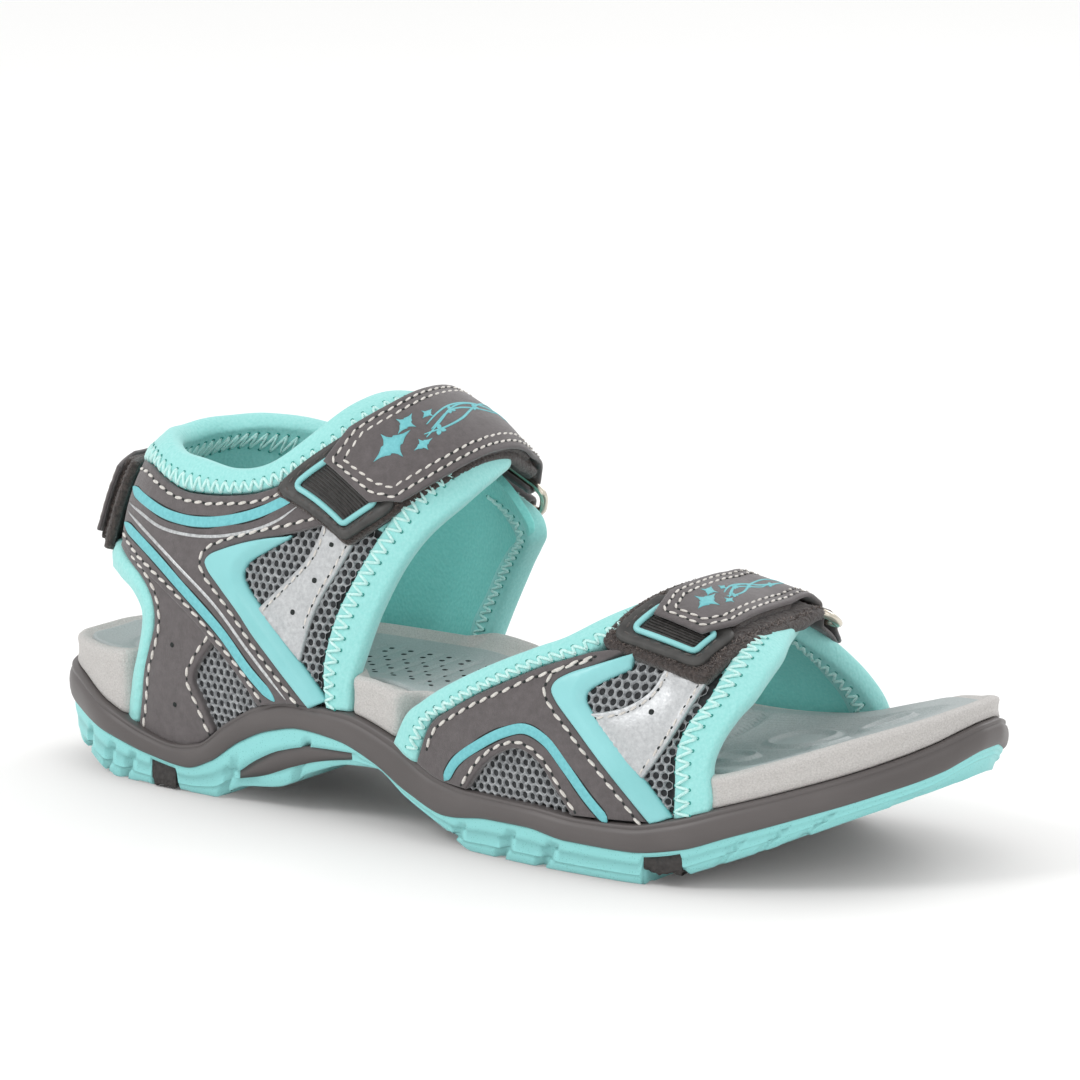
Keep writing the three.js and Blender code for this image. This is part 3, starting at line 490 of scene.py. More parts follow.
# ---------- mesh making ----------
def piece(name, verts, faces, material, body=ROOT, stands_for=(), merge=None):
    """One mesh in the row's frame, riding its body. verts are in mm in the lasts' frame.

    Where merge is given, points nearer than that (in mm) become one, and the faces turn outwards.
    """
    mesh = bpy.data.meshes.new(name)
    at = (np.asarray(verts, float).reshape(-1, 3) + SHIFT) * MM
    mesh.from_pydata(at.tolist(), [], [tuple(map(int, f)) for f in faces])
    mesh.validate()
    if merge is not None:
        b = bmesh.new()
        b.from_mesh(mesh)
        if merge:
            bmesh.ops.remove_doubles(b, verts=b.verts, dist=merge * MM)
        bmesh.ops.recalc_face_normals(b, faces=b.faces)
        b.to_mesh(mesh)
        b.free()
    mesh.polygons.foreach_set("use_smooth", [True] * len(mesh.polygons))
    mesh.materials.append(MATERIALS[material])
    obj = bpy.data.objects.new(name, mesh)
    bpy.context.scene.collection.objects.link(obj)
    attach(obj, body)
    if stands_for:
        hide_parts(*stands_for)
    return obj


def grid_faces(rows, cols, start=0, wrap=False):
    """Quads of a grid of rows by cols points; wrap joins the last column to the first."""
    i, j = np.meshgrid(np.arange(rows - 1), np.arange(cols if wrap else cols - 1), indexing="ij")
    k = (j + 1) % cols
    quad = np.stack([i * cols + j, i * cols + k, (i + 1) * cols + k, (i + 1) * cols + j], axis=-1)
    return (quad.reshape(-1, 4) + start).tolist()


def shut(top, bottom):
    """Verts and faces of a closed body between two grids of points."""
    rows, cols = top.shape[:2]
    count = rows * cols
    faces = grid_faces(rows, cols) + [f[::-1] for f in grid_faces(rows, cols, count)]
    index = np.arange(count).reshape(rows, cols)
    rim = np.concatenate([index[0, :-1], index[:-1, -1], index[-1, :0:-1], index[:0:-1, 0]])
    after = np.roll(rim, -1)
    faces += np.stack([after, rim, rim + count, after + count], axis=-1).tolist()
    return np.concatenate([top.reshape(-1, 3), bottom.reshape(-1, 3)]), faces


def spaced(length, step, edge):
    """Places from 0 to 1 along a length in mm, closer together within edge of each end."""
    edge = min(edge, length * 0.3)
    near = edge * np.array([0, 0.08, 0.3, 0.62])
    middle = np.linspace(edge, length - edge, max(2, int(math.ceil((length - 2 * edge) / step)) + 1))
    return np.concatenate([near, middle, length - near[::-1]]) / length


def rounded(distance, radius):
    """How far a rounded edge has fallen, at a distance in from it."""
    inward = np.clip(distance, 0, radius)
    return radius - np.sqrt(np.maximum(0, radius**2 - (radius - inward) ** 2))


def patch_grid(last, bottom, top, start, end, us, vs):
    """Points on a last that fill the space between four edges (a Coons patch)."""
    b, t = along(spline(bottom), us), along(spline(top), us)
    s = along(spline(start if start is not None else [b[0], t[0]]), vs)
    e = along(spline(end if end is not None else [b[-1], t[-1]]), vs)
    u, v = us[:, None, None], vs[None, :, None]
    ruled = b[:, None] * (1 - v) + t[:, None] * v
    ends = s[None] * (1 - u) + e[None] * u
    flat = (b[0] * (1 - u) + b[-1] * u) * (1 - v) + (t[0] * (1 - u) + t[-1] * u) * v
    return last.project(ruled + ends - flat)


PANEL_EDGE = 0.7  # radius of a panel's rounded edges
MERGE = 0.002  # points nearer than this are one point


def panel(name, last, heights, material, bottom, top, start=None, end=None, step=2.2, **options):
    """A soft panel on a last with rounded edges, at heights (low, high)."""
    low, high = heights
    edge = PANEL_EDGE
    across = [spline(bottom), spline(top)]
    sides = [spline(start if start is not None else [across[0][0], across[1][0]])]
    sides.append(spline(end if end is not None else [across[0][-1], across[1][-1]]))
    lu, lv = (np.mean([length_of(x) for x in pair]) for pair in (across, sides))
    us, vs = spaced(lu, step, edge), spaced(lv, step, edge)
    p = patch_grid(last, bottom, top, start, end, us, vs)
    n = normals(last, p)
    distance = np.minimum((np.minimum(us, 1 - us) * lu)[:, None], (np.minimum(vs, 1 - vs) * lv)[None])
    fall = rounded(distance, edge)
    above = high - fall
    below = np.minimum(low + fall * 0.4, above - 0.05)
    verts, faces = shut(p + n * above[..., None], p + n * below[..., None])
    return piece(name, verts, faces, material, merge=MERGE, **options)


def inside(points, outline):
    """Which 2-D points are inside a closed outline."""
    x, y = points[:, 0][:, None], points[:, 1][:, None]
    a, b = outline, np.roll(outline, -1, axis=0)
    crosses = (a[:, 1] > y) != (b[:, 1] > y)
    with np.errstate(divide="ignore", invalid="ignore"):
        at = (b[:, 0] - a[:, 0]) * (y - a[:, 1]) / (b[:, 1] - a[:, 1]) + a[:, 0]
    return (crosses & (x < at)).sum(axis=1) % 2 == 1


def distance_to(points, outline):
    """Distance of 2-D points to a closed outline."""
    a, b = outline, np.roll(outline, -1, axis=0)
    d = b - a
    t = np.clip(((points[:, None] - a) * d).sum(-1) / np.maximum((d * d).sum(-1), 1e-9), 0, 1)
    return np.linalg.norm(points[:, None] - (a + d * t[..., None]), axis=-1).min(axis=1)


def outline_of(*edges, step=0.9):
    """A closed 2-D outline from edges that meet at corners, each a smooth curve through its points."""
    out = []
    for edge in edges:
        line = spline(edge)
        out.append(along(line, np.linspace(0, 1, max(2, int(length_of(line) / step)) + 1))[:-1])
    return np.vstack(out)


def moved_in(outline, depth, edge):
    """A closed 2-D outline moved inwards by depth times edge."""
    tangent = unit(np.roll(outline, -1, axis=0) - np.roll(outline, 1, axis=0))
    normal = np.stack([-tangent[:, 1], tangent[:, 0]], axis=-1)
    area = (outline[:, 0] * np.roll(outline[:, 1], -1) - np.roll(outline[:, 0], -1) * outline[:, 1]).sum()
    return outline + normal * depth * edge * np.sign(area)


def cut_shape(outline, step, edge, depths, clear, stagger):
    """Triangles of a shape cut to a closed 2-D outline: (points, triangles, distances from the outline).

    Rows of points follow the outline at depths times edge, and a grid fills the rest, from clear times
    edge in. stagger moves every other row of the grid by a share of its step.
    """
    count = len(outline)
    points = outline.tolist()
    for depth in depths:
        points += moved_in(outline, depth, edge).tolist()
    lo, hi = outline.min(axis=0), outline.max(axis=0)
    gx, gy = np.meshgrid(np.arange(lo[0], hi[0], step), np.arange(lo[1], hi[1], step), indexing="ij")
    gx = gx + stagger * step * (np.arange(gx.shape[1]) % 2)
    grid = np.stack([gx.ravel(), gy.ravel()], axis=-1)
    points += grid[(distance_to(grid, outline) > edge * clear) & inside(grid, outline)].tolist()
    rim = [(i, (i + 1) % count) for i in range(count)]
    flat, _, tris, *_ = delaunay_2d_cdt([Vector(p) for p in points], rim, [], 0, 1e-5)
    flat, tris = np.array([tuple(v) for v in flat]), np.array(tris)
    tris = tris[inside(flat[tris].mean(axis=1), outline)]
    used = np.unique(tris)
    flat, tris = flat[used], np.searchsorted(used, tris)
    return flat, tris, distance_to(flat, outline)


def doubled(tris, count):
    """Faces of a closed body: triangles above, the same below, and a wall round their border."""
    sides = {tuple(e) for e in np.vstack([tris[:, [0, 1]], tris[:, [1, 2]], tris[:, [2, 0]]]).tolist()}
    wall = [(b, a, a + count, b + count) for a, b in sides if (b, a) not in sides]
    return tris.tolist() + (tris[:, ::-1] + count).tolist() + wall


def cutout(name, last, hand, outline, heights, material, relief, step=1.5, edge=0.5, **options):
    """A piece cut to an outline seen from the side, (x, z), laid on a last."""
    low, high = heights
    flat, tris, distance = cut_shape(outline, step, edge, (0.12, 0.45, 1.0), 1.4, 0.5)
    p = last.side(flat, hand)
    n = normals(last, p)
    above = high - rounded(distance, edge) + relief(p, distance)
    verts = np.concatenate([p + n * above[:, None], p + n * low])
    return piece(name, verts, doubled(tris, len(flat)), material, merge=MERGE, **options)


def frames_on(last, line):
    """Points, tangents, normals and sideways directions of a line on a last."""
    n = normals(last, line)
    t = np.gradient(line, axis=0)
    t = unit(t - (t * n).sum(-1, keepdims=True) * n)
    return t, n, np.cross(n, t)


def ribbon(name, last, line, width, heights, material, taper=4.0):
    """A raised line about 1 mm between its points, laid along a curve on a last and pointed at both ends."""
    dense = spline(line)
    total = length_of(dense)
    us = np.linspace(0, 1, int(total) + 2)
    centre = last.project(along(dense, us))
    _, n, b = frames_on(last, centre)
    s = us * total
    half = width / 2 * np.sqrt(np.clip(np.minimum(s, total - s) / taper, 0.02, 1))
    across = np.array([-1, -0.9, -0.6, 0, 0.6, 0.9, 1])
    low, high = heights
    fall = (high - low) * np.array([1, 0.35, 0.05, 0, 0.05, 0.35, 1])
    side = centre[:, None] + b[:, None] * (across[None, :, None] * half[:, None, None])
    side = last.project(side)
    above = side + n[:, None] * (high - fall)[None, :, None]
    below = side + n[:, None] * (low - 0.05)
    verts, faces = shut(above, below)
    return piece(name, verts, faces, material, merge=MERGE)


def tube(line, radius, sides, closed=False):
    """Verts and faces of a round tube along a polyline."""
    line = np.asarray(line, float)
    t = unit(np.roll(line, -1, 0) - np.roll(line, 1, 0)) if closed else unit(np.gradient(line, axis=0))
    u = np.zeros_like(line)
    reference = np.array([0.13, 0.31, 0.94])
    u[0] = unit(np.cross(t[0], reference))
    for i in range(1, len(line)):
        u[i] = unit(u[i - 1] - (u[i - 1] @ t[i]) * t[i])
    v = np.cross(t, u)
    turn = 2 * np.pi * np.arange(sides) / sides
    radius = np.broadcast_to(radius, len(line))[:, None, None]
    ring = u[:, None] * np.cos(turn)[None, :, None] + v[:, None] * np.sin(turn)[None, :, None]
    verts = (line[:, None] + ring * radius).reshape(-1, 3)
    faces = grid_faces(len(line), sides, wrap=True)
    if closed:
        last = (len(line) - 1) * sides
        faces += [(last + i, last + (i + 1) % sides, (i + 1) % sides, i) for i in range(sides)]
    else:
        faces += [tuple(range(sides))[::-1], tuple(range(len(verts) - sides, len(verts)))]
    return verts, faces


def gather(parts):
    """Joins (verts, faces) pairs into one."""
    verts, faces, start = [], [], 0
    for v, f in parts:
        verts.append(v)
        faces += [tuple(np.asarray(face) + start) for face in f]
        start += len(v)
    return np.vstack(verts), faces


def lozenge():
    """A unit capsule-like bead, long along x: verts and faces."""
    SIDES_ROUND, RINGS, FULLNESS = 8, 6, 0.7
    lat = np.linspace(-np.pi / 2, np.pi / 2, RINGS + 1)
    r = np.abs(np.cos(lat)) ** FULLNESS
    turn = 2 * np.pi * np.arange(SIDES_ROUND) / SIDES_ROUND
    y, z = (r[:, None] * np.cos(turn)).ravel(), (r[:, None] * np.sin(turn)).ravel()
    verts = np.stack([np.repeat(np.sin(lat), SIDES_ROUND), y, z], -1)
    return verts, grid_faces(RINGS + 1, SIDES_ROUND, wrap=True)


BEAD, BEAD_FACES = lozenge()


def beads(name, centres, t, n, b, size, material, body=ROOT):
    """A bead at every centre, size (along, across, high) in mm."""
    local = BEAD * np.array(size) / 2
    verts = (
        centres[:, None]
        + t[:, None] * local[None, :, 0:1]
        + b[:, None] * local[None, :, 1:2]
        + n[:, None] * local[None, :, 2:3]
    )
    faces = (np.array(BEAD_FACES)[None] + (np.arange(len(centres)) * len(BEAD))[:, None, None]).reshape(-1, 4)
    return piece(name, verts, faces.tolist(), material, body)


STITCH = (2.5, 0.85, 0.7)  # length, width and height of a stitch in mm
STITCH_PITCH = 3.5


def stitches(name, place, line, material="thread_white", body=ROOT, size=STITCH, pitch=STITCH_PITCH,
             holes="recess_shade"):
    """A row of stitches. place turns points of the 2-D or 3-D line into (points, normals) on a surface."""
    dense = spline(line) if len(line) < 40 else np.asarray(line, float)
    p, n = place(along(dense, np.linspace(0, 1, 400)))
    total = length_of(p)
    count = max(2, int(total / pitch))
    us = (np.arange(count) + 0.5) / count
    s = np.concatenate(([0], np.cumsum(np.linalg.norm(np.diff(p, axis=0), axis=1)))) / total

    def pick(values, at):
        return np.stack([np.interp(at, s, values[:, k]) for k in range(3)], axis=-1)

    def frame_at(at):
        c, m = pick(p, at), unit(pick(n, at))
        t = pick(p, np.minimum(at + 0.002, 1)) - pick(p, np.maximum(at - 0.002, 0))
        t = unit(t - (t * m).sum(-1, keepdims=True) * m)
        return c, t, m, np.cross(m, t)

    c, t, m, b = frame_at(us)
    slant = math.radians(9)
    t2 = t * math.cos(slant) + b * math.sin(slant)
    wander = rng.normal(0, 0.05, (count, 1))
    beads(name, c + m * 0.12 + b * wander, t2, m, np.cross(m, t2), size, material, body)
    # Each needle hole is a dark bead: painted shade inside the hole.
    if holes:
        c, t, m, b = frame_at(np.arange(count + 1) / count)
        beads(name + "_holes", c - m * 0.02, t, m, b, (0.95, 0.75, 0.22), holes, body)


def on_side(last, hand, height):
    """Places 2-D points, (x, z) seen from the side, at a height above a last."""

    def place(points):
        p = last.side(points, hand)
        n = normals(last, p)
        return p + n * height, n

    return place


# ---------- sole ----------
SOLE_HALF = 131  # half the sole's length
AROUND = 1100  # points round the sole
AXIS_END = 104.0  # the rings of a sole's faces close on the middle line, up to here each way


def sole_outline():
    x = np.linspace(-SOLE_HALF, SOLE_HALF, 500)
    low = np.stack([x, outer_edge(x)], -1)
    high = np.stack([x, inner_edge(x)], -1)[::-1]
    loop = np.vstack([low, high, low[:1]])
    loop = along(loop, np.linspace(0, 1, AROUND + 1))[:-1]
    SOFTEN = 14
    for _ in range(SOFTEN):
        loop = (np.roll(loop, 1, 0) + 2 * loop + np.roll(loop, -1, 0)) / 4
    return loop


EDGE = sole_outline()
EDGE_T = unit(np.roll(EDGE, -1, 0) - np.roll(EDGE, 1, 0))
EDGE_N = np.stack([EDGE_T[:, 1], -EDGE_T[:, 0]], -1)  # outwards
MIDDLE_X = np.clip(EDGE[:, 0], -AXIS_END, AXIS_END)
MIDDLE = np.stack([MIDDLE_X, (outer_edge(MIDDLE_X) + inner_edge(MIDDLE_X)) / 2], -1)


def edge_ring(depth, z):
    """The outline moved in by depth, at height z."""
    xy = EDGE - EDGE_N * np.broadcast_to(depth, AROUND)[:, None]
    return np.column_stack([xy, np.broadcast_to(z, AROUND)])


def face_rings(depth, height, count):
    """Rings from the outline, moved in by depth, to the middle line, at height(x, y)."""
    start = EDGE - EDGE_N * np.broadcast_to(depth, AROUND)[:, None]
    out = []
    for f in np.linspace(0, 1, count + 1)[1:]:
        xy = start * (1 - f) + MIDDLE * f
        out.append(np.column_stack([xy, height(*xy.T)]))
    return out


def lathe(name, rings, material, **options):
    """A closed body from rings that run from the middle of one face, round the edge, to the other's."""
    faces = grid_faces(len(rings), AROUND, wrap=True)
    return piece(name, np.vstack(rings), faces, material, merge=0.02, **options)


def across_sole(x, y, depth):
    """Place across the sole, from -1 to 1 between two lines that are depth in from its edges."""
    outer, inner = outer_edge(x) + depth, inner_edge(x) - depth
    return (2 * y - outer - inner) / (inner - outer)


MEDIAL_RISE = 1.3  # of the footbed's rim beside the big toe's ball
FILLED = 1.1  # how much less the footbed is dished under the toes


def rim_height(x, y):
    return rim_z(x) + MEDIAL_RISE * smoothstep(y, 5, 35) * window(x, 30, 100, 22)


def footbed_top(x, y):
    dish = dish_depth(x) - FILLED * window(x, 40, 108, 20)
    return rim_height(x, y) - dish * (1 - np.minimum(1, np.abs(across_sole(x, y, 4.0))) ** 3)


def window(x, low, high, soft):
    """1 between low and high, falling to 0 over soft on each side."""
    return smoothstep(x, low - soft, low) * (1 - smoothstep(x, high, high + soft))


WALL_NOTCHES = {  # along the sole: (place, half width, depth), in mm
    "outer": [(-117, 0.7, 2.6), (-107, 0.7, 2.6), (-99.5, 0.7, 2.6), (-65, 0.9, 2.4), (-41, 0.8, 2.0),
              (10, 0.9, 1.8),
              (26, 1.1, 2.6), (39, 1.1, 2.6), (88, 0.6, 1.0), (97, 0.6, 1.0), (106, 0.6, 1.0)],
    "inner": [(-114, 0.8, 2.6), (-103, 0.8, 2.6), (-68, 0.9, 2.4), (8, 0.9, 2.2), (22, 1.0, 2.6),
              (38, 1.0, 2.6),
              (54, 0.9, 2.4), (88, 0.7, 1.2), (99, 0.7, 1.2), (110, 0.7, 1.0)],
}


def notch_depth(lean):
    """How deep the outsole's wall is cut at each point of the outline. The cuts lean forwards."""
    out = np.zeros(AROUND)
    for side, places in WALL_NOTCHES.items():
        here = EDGE_N[:, 1] < 0 if side == "outer" else EDGE_N[:, 1] >= 0
        for at, half, depth in places:
            out = np.maximum(out, here * depth * window(EDGE[:, 0] - lean, at - half, at + half, 0.6))
    return out


def lugs(x, y):
    """How far the outsole's underside is above its ground line: grooves between slanted lugs."""
    outer, inner = outer_edge(x), inner_edge(x)
    middle = (outer + inner) / 2
    share = np.abs(y - middle) / ((inner - outer) / 2)
    PITCH, GROOVE, DEPTH = 14.0, 4.4, 3.4
    shift = np.where(y < middle, 0.0, 0.5 * PITCH)
    groove = window((x + 0.45 * np.abs(y - middle) + shift) % PITCH, 0.8, GROOVE, 0.8)
    centre = 1 - smoothstep(np.abs(y - middle), 2.6, 3.6)
    rib = window(share, 0.52, 0.58, 0.02)
    flat = window(x, -62, 2, 6)
    within = (1 - smoothstep(share, 0.8, 0.9)) * window(x, -123, 122, 5)  # the wall's foot is whole
    relief = np.maximum(np.maximum(groove, centre), 0.6 * rib) * (1 - flat) * within
    return DEPTH * relief * (0.35 + 0.65 * smoothstep(128 - x, 0, 40))


def slot_lift(x):
    """How far the outsole is cut up across the sole at the two dark treads."""
    cut = np.zeros_like(x)
    for x0, x1 in TREADS:
        cut = np.maximum(cut, window(x, x0 - 0.1, x1 + 0.1, 0.45) * (band_low(x) - 2.4 - ground_z(x)))
    return cut


def build_outsole():
    x = EDGE[:, 0]
    top = band_low(x) + 0.2
    low = ground_z(x) + slot_lift(x)
    in_window = window(x, SHANK[0] + 1.2, SHANK[1] - 1.2, 1.8)
    by_shank = (x > SHANK[0] - 3) & (x < SHANK[1] + 3)
    cut_low = np.where(by_shank, shank_low(x) - 0.3, low + 0.3 * (top - low))
    cut_high = np.where(by_shank, shank_high(x) + 0.3, low + 0.62 * (top - low))
    cut_low = np.clip(cut_low, low + 0.4, top - 0.8)
    cut_high = np.clip(cut_high, cut_low + 0.3, top - 0.4)

    def under(px, py):
        return ground_z(px) + np.maximum(lugs(px, py), slot_lift(px))

    BASE_IN = 3.2
    rings = face_rings(BASE_IN + 0.6, under, 46)[::-1]
    floor_z = under(*(EDGE - EDGE_N * (BASE_IN + 0.6)).T)
    tall = np.maximum(top - low, 0.5)

    def wall(share, depth, z):
        lean = (share - 0.3) * 7.0
        strength = 1 - smoothstep(np.full(AROUND, share), 0.62, 0.86)
        return edge_ring(depth + notch_depth(lean) * strength, z)

    rings.append(edge_ring(BASE_IN + notch_depth(-2.1), floor_z))
    foot = np.maximum(low, floor_z * 0.5 + low * 0.5)
    rings.append(wall(0.02, 2.5, foot + 0.15))
    rings.append(wall(0.08, 2.1, foot + 0.6))
    for share in (0.2, 0.32, 0.44):
        z = np.minimum(low + share * tall, cut_low)
        rings.append(wall(share, 2.1 - 1.4 * share, z))
    rings.append(wall(0.46, 1.5, cut_low))
    DEEP = 2.8
    rings.append(edge_ring(1.5 + DEEP * in_window + notch_depth(0.5), cut_low + 0.08))
    rings.append(edge_ring(1.3 + DEEP * in_window + notch_depth(1.5) * 0.8, cut_high - 0.08))
    rings.append(wall(0.66, 1.1, cut_high))
    for share in (0.75, 0.86, 0.95):
        z = cut_high + (share - 0.62) / 0.38 * (top - cut_high)
        rings.append(wall(share, 1.2 - 0.5 * share, z))
    rings.append(edge_ring(0.75, top - 0.1))
    rings.append(edge_ring(1.4, top))
    rings += face_rings(1.4, lambda px, py: band_low(px) + 0.2, 3)
    rubber = lathe("outsole_rubber", rings, "mint_rubber", stands_for=["outsole"])
    rubber.visible_diffuse = False  # bounced light passes it by, so that the floor's shadow stays neutral


def build_midsole():
    low, top = band_low(EDGE[:, 0]), band_top(EDGE[:, 0])
    rings = face_rings(3.0, lambda px, py: band_low(px) + 0.3, 3)[::-1]
    rings.append(edge_ring(3.0, low + 0.3))
    PROFILE = [  # the wall's section: share of its height, depth in from the outline
        (0.0, 0.9), (0.015, 0.45), (0.06, 0.1), (0.14, -0.25), (0.3, -0.55), (0.5, -0.65), (0.66, -0.5),
        (0.76, -0.2),
        (0.8, 0.1), (0.83, 0.25), (0.86, 0.15), (0.9, 0.1), (0.95, 0.2), (0.985, 0.55), (1.0, 1.1),
    ]
    rings += [edge_ring(depth, low + share * (top - low)) for share, depth in PROFILE]
    rings.append(edge_ring(2.0, top + 0.05))
    rings += face_rings(2.0, lambda px, py: band_top(px) - 0.4, 3)
    lathe("midsole_band", rings, "dark_rubber", stands_for=["midsole"])


def ring_shape(x, y, cx, cy, rx, ry):
    """A raised line round an ellipse."""
    r = np.hypot((x - cx) / rx, (y - cy) / ry)
    return np.exp(-(((r - 1) * (rx + ry) / 2 / 0.9) ** 2))


TOE_PADS = [  # centres and radii of the rings under the toes
    (80, 6, 8.2, 9.0), (74.5, -17, 5.4, 6.0), (69.5, -28.5, 2.8, 3.2), (100, 12, 6.0, 6.6),
    (97, -10, 4.2, 4.6),
]


def emboss(x, y):
    """The footbed's relief: toe rings, a line at the toes' root, fine ridges and heel contours."""
    out = np.zeros_like(x)
    fore = smoothstep(x, 22, 34) * (1 - smoothstep(x, 108, 116))
    share = np.abs(across_sole(x, y, 13.5))
    fore = fore * (1 - smoothstep(share, 0.86, 0.98))
    pads = np.zeros_like(x)
    flat = np.zeros_like(x)
    for cx, cy, rx, ry in TOE_PADS:
        pads = np.maximum(pads, ring_shape(x, y, cx, cy, rx, ry))
        flat = np.maximum(flat, 1 - smoothstep(np.hypot((x - cx) / rx, (y - cy) / ry), 1.15, 1.4))
    root = 60 - 0.0045 * (y - 4) ** 2
    line = np.exp(-(((x - root) / 1.0) ** 2)) * (1 - smoothstep(np.abs(y - 2), 26, 32))
    ridges = np.sin(2 * np.pi * (y + 5.5 * np.sin((x - 20) / 17.0) + 0.12 * x) / 1.9)
    out += 0.3 * ridges * fore * (1 - flat) * (1 - 0.9 * line)
    out += 1.1 * pads * fore - 0.8 * line * fore
    heel = np.hypot((x + 88) / 27.0, y / 19.0)
    contours = sum(np.exp(-(((heel - r) * 21 / 0.8) ** 2)) for r in (0.62, 1.0))
    out -= 0.45 * contours * (1 - smoothstep(heel, 1.2, 1.3))
    arch = smoothstep(x, -62, -52) * (1 - smoothstep(x, 12, 22)) * (1 - smoothstep(share, 0.7, 0.8))
    out -= 0.35 * arch * (0.5 + 0.5 * np.sin(2 * np.pi * (x - 0.004 * y * y) / 6.0)) ** 6
    return out


def build_footbed():
    low, top = band_top(EDGE[:, 0]) + 0.1, rim_height(*EDGE.T)
    back_in = footbed_inset(EDGE[:, 0])
    rings = face_rings(3.2, lambda px, py: band_top(px) + 0.1, 3)[::-1]
    PROFILE = [  # the edge's section: share of its height, depth in
        (0.0, 0.5), (0.02, 0.1), (0.1, -0.15), (0.35, 0.15), (0.6, 0.15), (0.8, -0.1), (0.9, 0.05),
        (0.955, 0.5),
        (0.99, 1.3), (1.0, 2.2),
    ]
    rings += [edge_ring(back_in + depth, low + share * (top - low)) for share, depth in PROFILE]
    rings += face_rings(back_in + 2.8, footbed_top, 16)
    lathe("footbed_foam_base", rings, "footbed_foam", stands_for=["footbed"])


cover_inset = profile((-131, 5.4), (-110, 5.6), (-94, 11.5), (76, 12), (92, 6.2), (131, 5.6))
COVER_IN = cover_inset(EDGE[:, 0])


def build_cover():
    """The grey-blue top of the footbed, with all its relief."""
    TOP = 1.1
    top = lambda px, py: footbed_top(px, py) + TOP + emboss(px, py)
    rings = face_rings(COVER_IN, lambda px, py: footbed_top(px, py) - 0.6, 2)[::-1]
    for depth, rise in ((0.0, -0.5), (0.0, 0.1), (0.12, 0.5), (0.5, 0.85), (1.1, TOP)):
        p = EDGE - EDGE_N * (COVER_IN + depth)[:, None]
        rings.append(np.column_stack([p, footbed_top(*p.T) + rise]))
    rings += face_rings(COVER_IN + 1.2, top, 120)
    lathe("footbed_cover_top", rings, "footbed_cover", stands_for=["footbed_cover"])
    # The breathing holes, in staggered rows over the arch, each a dark disc: painted shade inside the hole
    places = []
    for px in np.arange(-46, 18, 6.0):
        for share in (-0.62, -0.44, -0.26, -0.08, 0.1, 0.28, 0.46, 0.62):
            outer, inner = outer_edge(px) + 13.5, inner_edge(px) - 13.5
            places.append(
                (px + 3 * (round(share * 50) % 2), (outer + inner) / 2 + share * (inner - outer) / 2)
            )
    places = np.array(places)
    t, b, n = (np.tile(axis, (len(places), 1)) for axis in np.eye(3))
    beads(
        "footbed_holes", np.column_stack([places, top(*places.T)]), t, n, b, (1.5, 1.5, 0.22), "recess_shade"
    )


ACROSS = 70  # about the sole's width, which sets how closely the bars' points lie


def bar_across(ends, us, vs, inset):
    """Places under the sole on a bar from edge to edge, at us along it from end to end and vs across."""
    x = (ends[0] + (ends[1] - ends[0]) * us)[:, None] + 0 * vs[None]
    return x, (outer_edge(x) + inset) * (1 - vs[None]) + (inner_edge(x) - inset) * vs[None]


def bar(name, x, y, high, low, material, node):
    verts, faces = shut(np.stack([x, y, high], -1), np.stack([x, y, low], -1))
    piece(name, verts, faces, material, stands_for=[node], merge=MERGE)


def build_inserts():
    for ends, node, low in zip(TREADS, ("heel_tread_insert", "forefoot_tread_insert"), (0.2, 2.8)):
        long = ends[1] - ends[0]
        us, vs = spaced(long, 0.8, 0.6), spaced(ACROSS, 1.6, 0.8)
        x, y = bar_across(ends, us, vs, 1.4)
        d = np.minimum((np.minimum(us, 1 - us) * long)[:, None], (np.minimum(vs, 1 - vs) * ACROSS)[None])
        slanted = np.sin(2 * np.pi * (y + 0.5 * x) / 5.0) > -0.2
        cleats = 1.0 * slanted + 0.5 * (np.sin(2 * np.pi * x / 3.2) > 0.3)
        foot = band_low(x) - 0.4
        bar(node + "_block", x, y, foot, low + rounded(d, 0.6) + 1.6 - cleats, "tread_rubber", node)
    us, vs = spaced(SHANK[1] - SHANK[0], 0.8, 1.0), spaced(ACROSS, 3.0, 0.8)
    x, y = bar_across(SHANK, us, vs, 2.2 - 0.9 * np.sin(np.pi * us)[:, None])
    bar("arch_shank_bar", x, y, shank_high(x) + 0.35, shank_low(x) - 0.35, "dark_rubber", "arch_shank")


build_outsole()
build_midsole()
build_footbed()
build_cover()
build_inserts()
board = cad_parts["insole_board"]
board.data.materials.clear()
board.data.materials.append(MATERIALS["board"])


# ---------- soft uppers ----------
LINING = (-4.6, -2.5)
BASE = (-2.4, -1.3)  # the mesh panels' backing
STRANDS = -0.95  # of the mesh's open face
OVERLAY_TOP = 1.25
OVERLAY = (-1.2, OVERLAY_TOP)
LEG_TOP = OVERLAY_TOP - 0.35
PRINTED = (OVERLAY_TOP - 0.15, OVERLAY_TOP + 0.22)
# Heights of the dark bands round the printed stripes: painted shade of their sunk borders.
PRINT_BORDER_SHADE = (OVERLAY_TOP - 0.25, OVERLAY_TOP + 0.1)
MOULDED = (-1.2, 2.1)
SILVER = (-1.2, 0.1)
EYELET = (1.3, 1.3, 0.3)
SIDES = (("lateral", -1), ("medial", 1))


def feet(last, xs, hand):
    """Points just above the midsole's top edge."""
    xs = np.array(xs, float)
    return last.side(np.stack([xs, band_top(xs) + 0.2], -1), hand)


def moved(line, distance):
    """A 2-D line moved sideways, to its left for a positive distance."""
    line = spline(line) if len(line) < 40 else line
    t = unit(np.gradient(line, axis=0))
    return line + np.stack([-t[:, 1], t[:, 0]], -1) * distance


